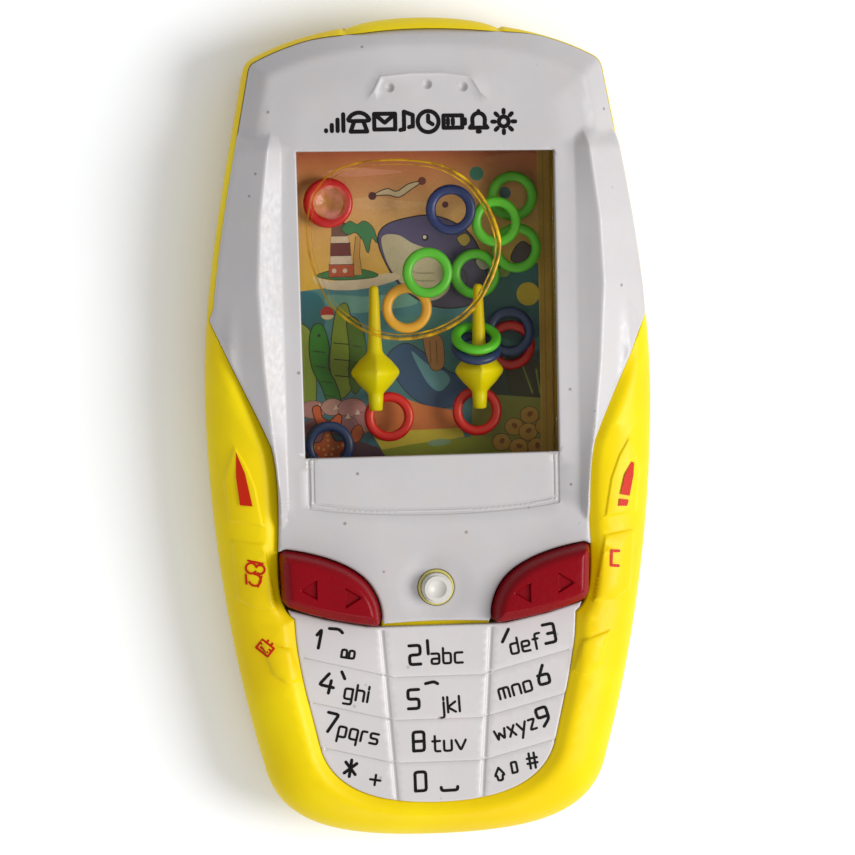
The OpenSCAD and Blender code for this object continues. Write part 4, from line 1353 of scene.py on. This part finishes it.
def paint_starfish(p):
    """Plain starfish with dotted arms on a dark mound, and a shell."""
    x, y, first = -17.9, -4.2, 0.35
    star = [(x + r * math.cos(a), y + r * math.sin(a))
            for a, r in zip(np.arange(10) * math.pi / 5 + first, (4.3, 2.1) * 5)]
    p.flat([(-24, -4), (-19, -3), (-12, -2.6), (-8.4, -4), (-7, -6), (-7, -10), (-24, -10)], (86, 52, 84),
           (60, 36, 62))
    p.soft(star, (232, 112, 66), (206, 88, 50), 0.24, (90, 24, 22), n=4)
    for arm in range(5):
        turn = arm * math.pi / 2.5 + first
        for r in (0.9, 1.9, 2.8):
            p.spot(x + r * math.cos(turn), y + r * math.sin(turn), 0.26, 0.26, (250, 190, 130), n=8)
    p.spot(-12.6, -1.2, 1, 1.6, (214, 106, 66), -20, outline=0.18, edge=(90, 24, 22))


def paint_wall_light_and_shade(p):
    """Painted look of the tank's clear wall on the right, put on the picture: an amber band, a lighter line
    of painted highlight and a darker line of painted shade.
    """
    # Painted highlight and painted shade of the wall, as colours on the card.
    for x0, x1, tone in ((21.6, 24, (214, 176, 84)), (21.6, 21.8, (226, 196, 110)),
                         (22.6, 22.8, (184, 150, 66))):
        x1 = min(x1, p.high.x)
        p.flat([(x0, p.low.y), (x1, p.low.y), (x1, p.high.y), (x0, p.high.y)], tone)


def seascape():
    """The areas of the whole picture, and the painted light and shade of the tank's wall over its right side.
    """
    p = Painting("picture_card")
    for paint in (paint_sky, paint_sea, paint_whale, paint_island, paint_seaweed, paint_fish, paint_reef,
                  paint_pebbles, paint_starfish, paint_wall_light_and_shade):
        paint(p)
    return p.areas


def picture_card():
    """Printed card behind the tank: one sheet cut along its areas' edges, with their colours."""
    low, high = (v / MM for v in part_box("picture_card"))
    areas = [(np.array(loop, float), np.array(a), np.array(b)) for loop, a, b in seascape()]
    sheet = areas[0][0]
    grid = [(x, y) for x in np.arange(low.x + 2, high.x, 4) for y in np.arange(low.y + 2, high.y, 4)]
    verts, faces = triangulated([loop for loop, _, _ in areas], grid, lambda p: within(p, sheet))
    n = len(verts)
    sheet_mesh = slab(verts, faces, np.full(n, high.z), np.full(n, low.z))
    piece = add_object("printed_picture", *sheet_mesh, PICTURE)
    centres = verts[faces].mean(axis=1)
    owner = np.zeros(len(faces), int)
    for k, (loop, _, _) in enumerate(areas):
        owner[within(centres, loop)] = k
    paper = (*srgb(226, 218, 200), 1)
    colours = piece.data.color_attributes.new(name="print", type="FLOAT_COLOR", domain="CORNER")
    spans = [(loop[:, 1].min(), loop[:, 1].max()) for loop, _, _ in areas]
    for face in piece.data.polygons:
        for corner in face.loop_indices:
            colour = paper
            if face.index < len(faces):
                k = owner[face.index]
                y = piece.data.vertices[piece.data.loops[corner].vertex_index].co.y / MM
                t = min(1, max(0, (spans[k][1] - y) / (spans[k][1] - spans[k][0])))
                colour = (*(areas[k][1] * (1 - t) + areas[k][2] * t), 1)
            colours.data[corner].color = colour
    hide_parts("picture_card")


# ---------------------------------------------------------------- stage

def studio():
    """Pale floor, a soft lamp from the right, a weak one from beyond the phone's foot, and a pale sky."""
    mesh = bpy.data.meshes.new("floor")
    half = 3
    corners = [(-half, -half, 0), (half, -half, 0), (half, half, 0), (-half, half, 0)]
    mesh.from_pydata(corners, [], [(0, 1, 2, 3)])
    floor = bpy.data.objects.new("floor", mesh)
    scene.collection.objects.link(floor)
    n = Nodes("floor_paper")
    n.set(Base_Color=n.mix(n.band(n.noise(0.02, 3), 0.3, 0.7), srgb(250, 250, 250), srgb(246, 246, 246)),
          Roughness=0.9)
    mesh.materials.append(n.material)
    world = bpy.data.worlds.new("sky")
    world.use_nodes = True
    sky = world.node_tree.nodes["Background"]
    sky.inputs["Color"].default_value = (0.95, 0.97, 1, 1)
    sky.inputs["Strength"].default_value = 0.64
    scene.world = world
    for name, place, size, watts in (("key", (0.5, -0.06, 0.46), 0.4, 4.1),
                                     ("fill", (0.05, -0.6, 0.35), 0.4, 0.9)):
        lamp = bpy.data.lights.new(name, "AREA")
        lamp.shape = "DISK"
        lamp.size = size
        lamp.energy = watts
        holder = bpy.data.objects.new(name, lamp)
        holder.location = place
        holder.rotation_euler = (-Vector(place)).to_track_quat("-Z", "Y").to_euler()
        scene.collection.objects.link(holder)


def camera():
    """Looks down on the toy from a little above its middle and a little to its left."""
    distance, up, left, roll = 0.5, 3.5, 5.5, 1.4
    lens, sensor, aim = 113.5, 36, Vector((0.0007, -0.0005, 0))
    data = bpy.data.cameras.new("camera")
    data.lens = lens
    data.sensor_width = sensor
    view = Matrix.Rotation(math.radians(roll), 4, "Z") @ Matrix.Rotation(math.radians(left), 4, "Y")
    view = view @ Matrix.Rotation(math.radians(up), 4, "X")
    holder = bpy.data.objects.new("camera", data)
    holder.matrix_world = view.inverted() @ Matrix.Translation(aim + Vector((0, 0, distance)))
    scene.collection.objects.link(holder)
    scene.camera = holder


def dress_cad_nodes():
    """Gives every CAD node that still shows its finish."""
    finish = {"pump_deck": AMBER, "jet_nozzles": PLUG_WHITE, "filler_plug": PLUG_WHITE,
              "left_bellows_clamp": YELLOW, "right_bellows_clamp": YELLOW, "case_screws": STEEL}
    for name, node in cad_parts.items():
        if name in finish:
            node.data.materials.clear()
            node.data.materials.append(finish[name])


scene.view_settings.view_transform = "Standard"
# The tank is a stack of clear surfaces, which needs more bounces than usual at low angles.
scene.cycles.transparent_max_bounces = 32
studio()
camera()
dress_cad_nodes()
rear_cover()
front_frame()
front_cover()
keypad()
for side in ("left", "right"):
    button(side)
    bellows(side)
    peg(side)
filler_collar()
rings()
tank_body()
tank_window()
bubble()
picture_card()
pictograms()
key_legends()
side_prints()
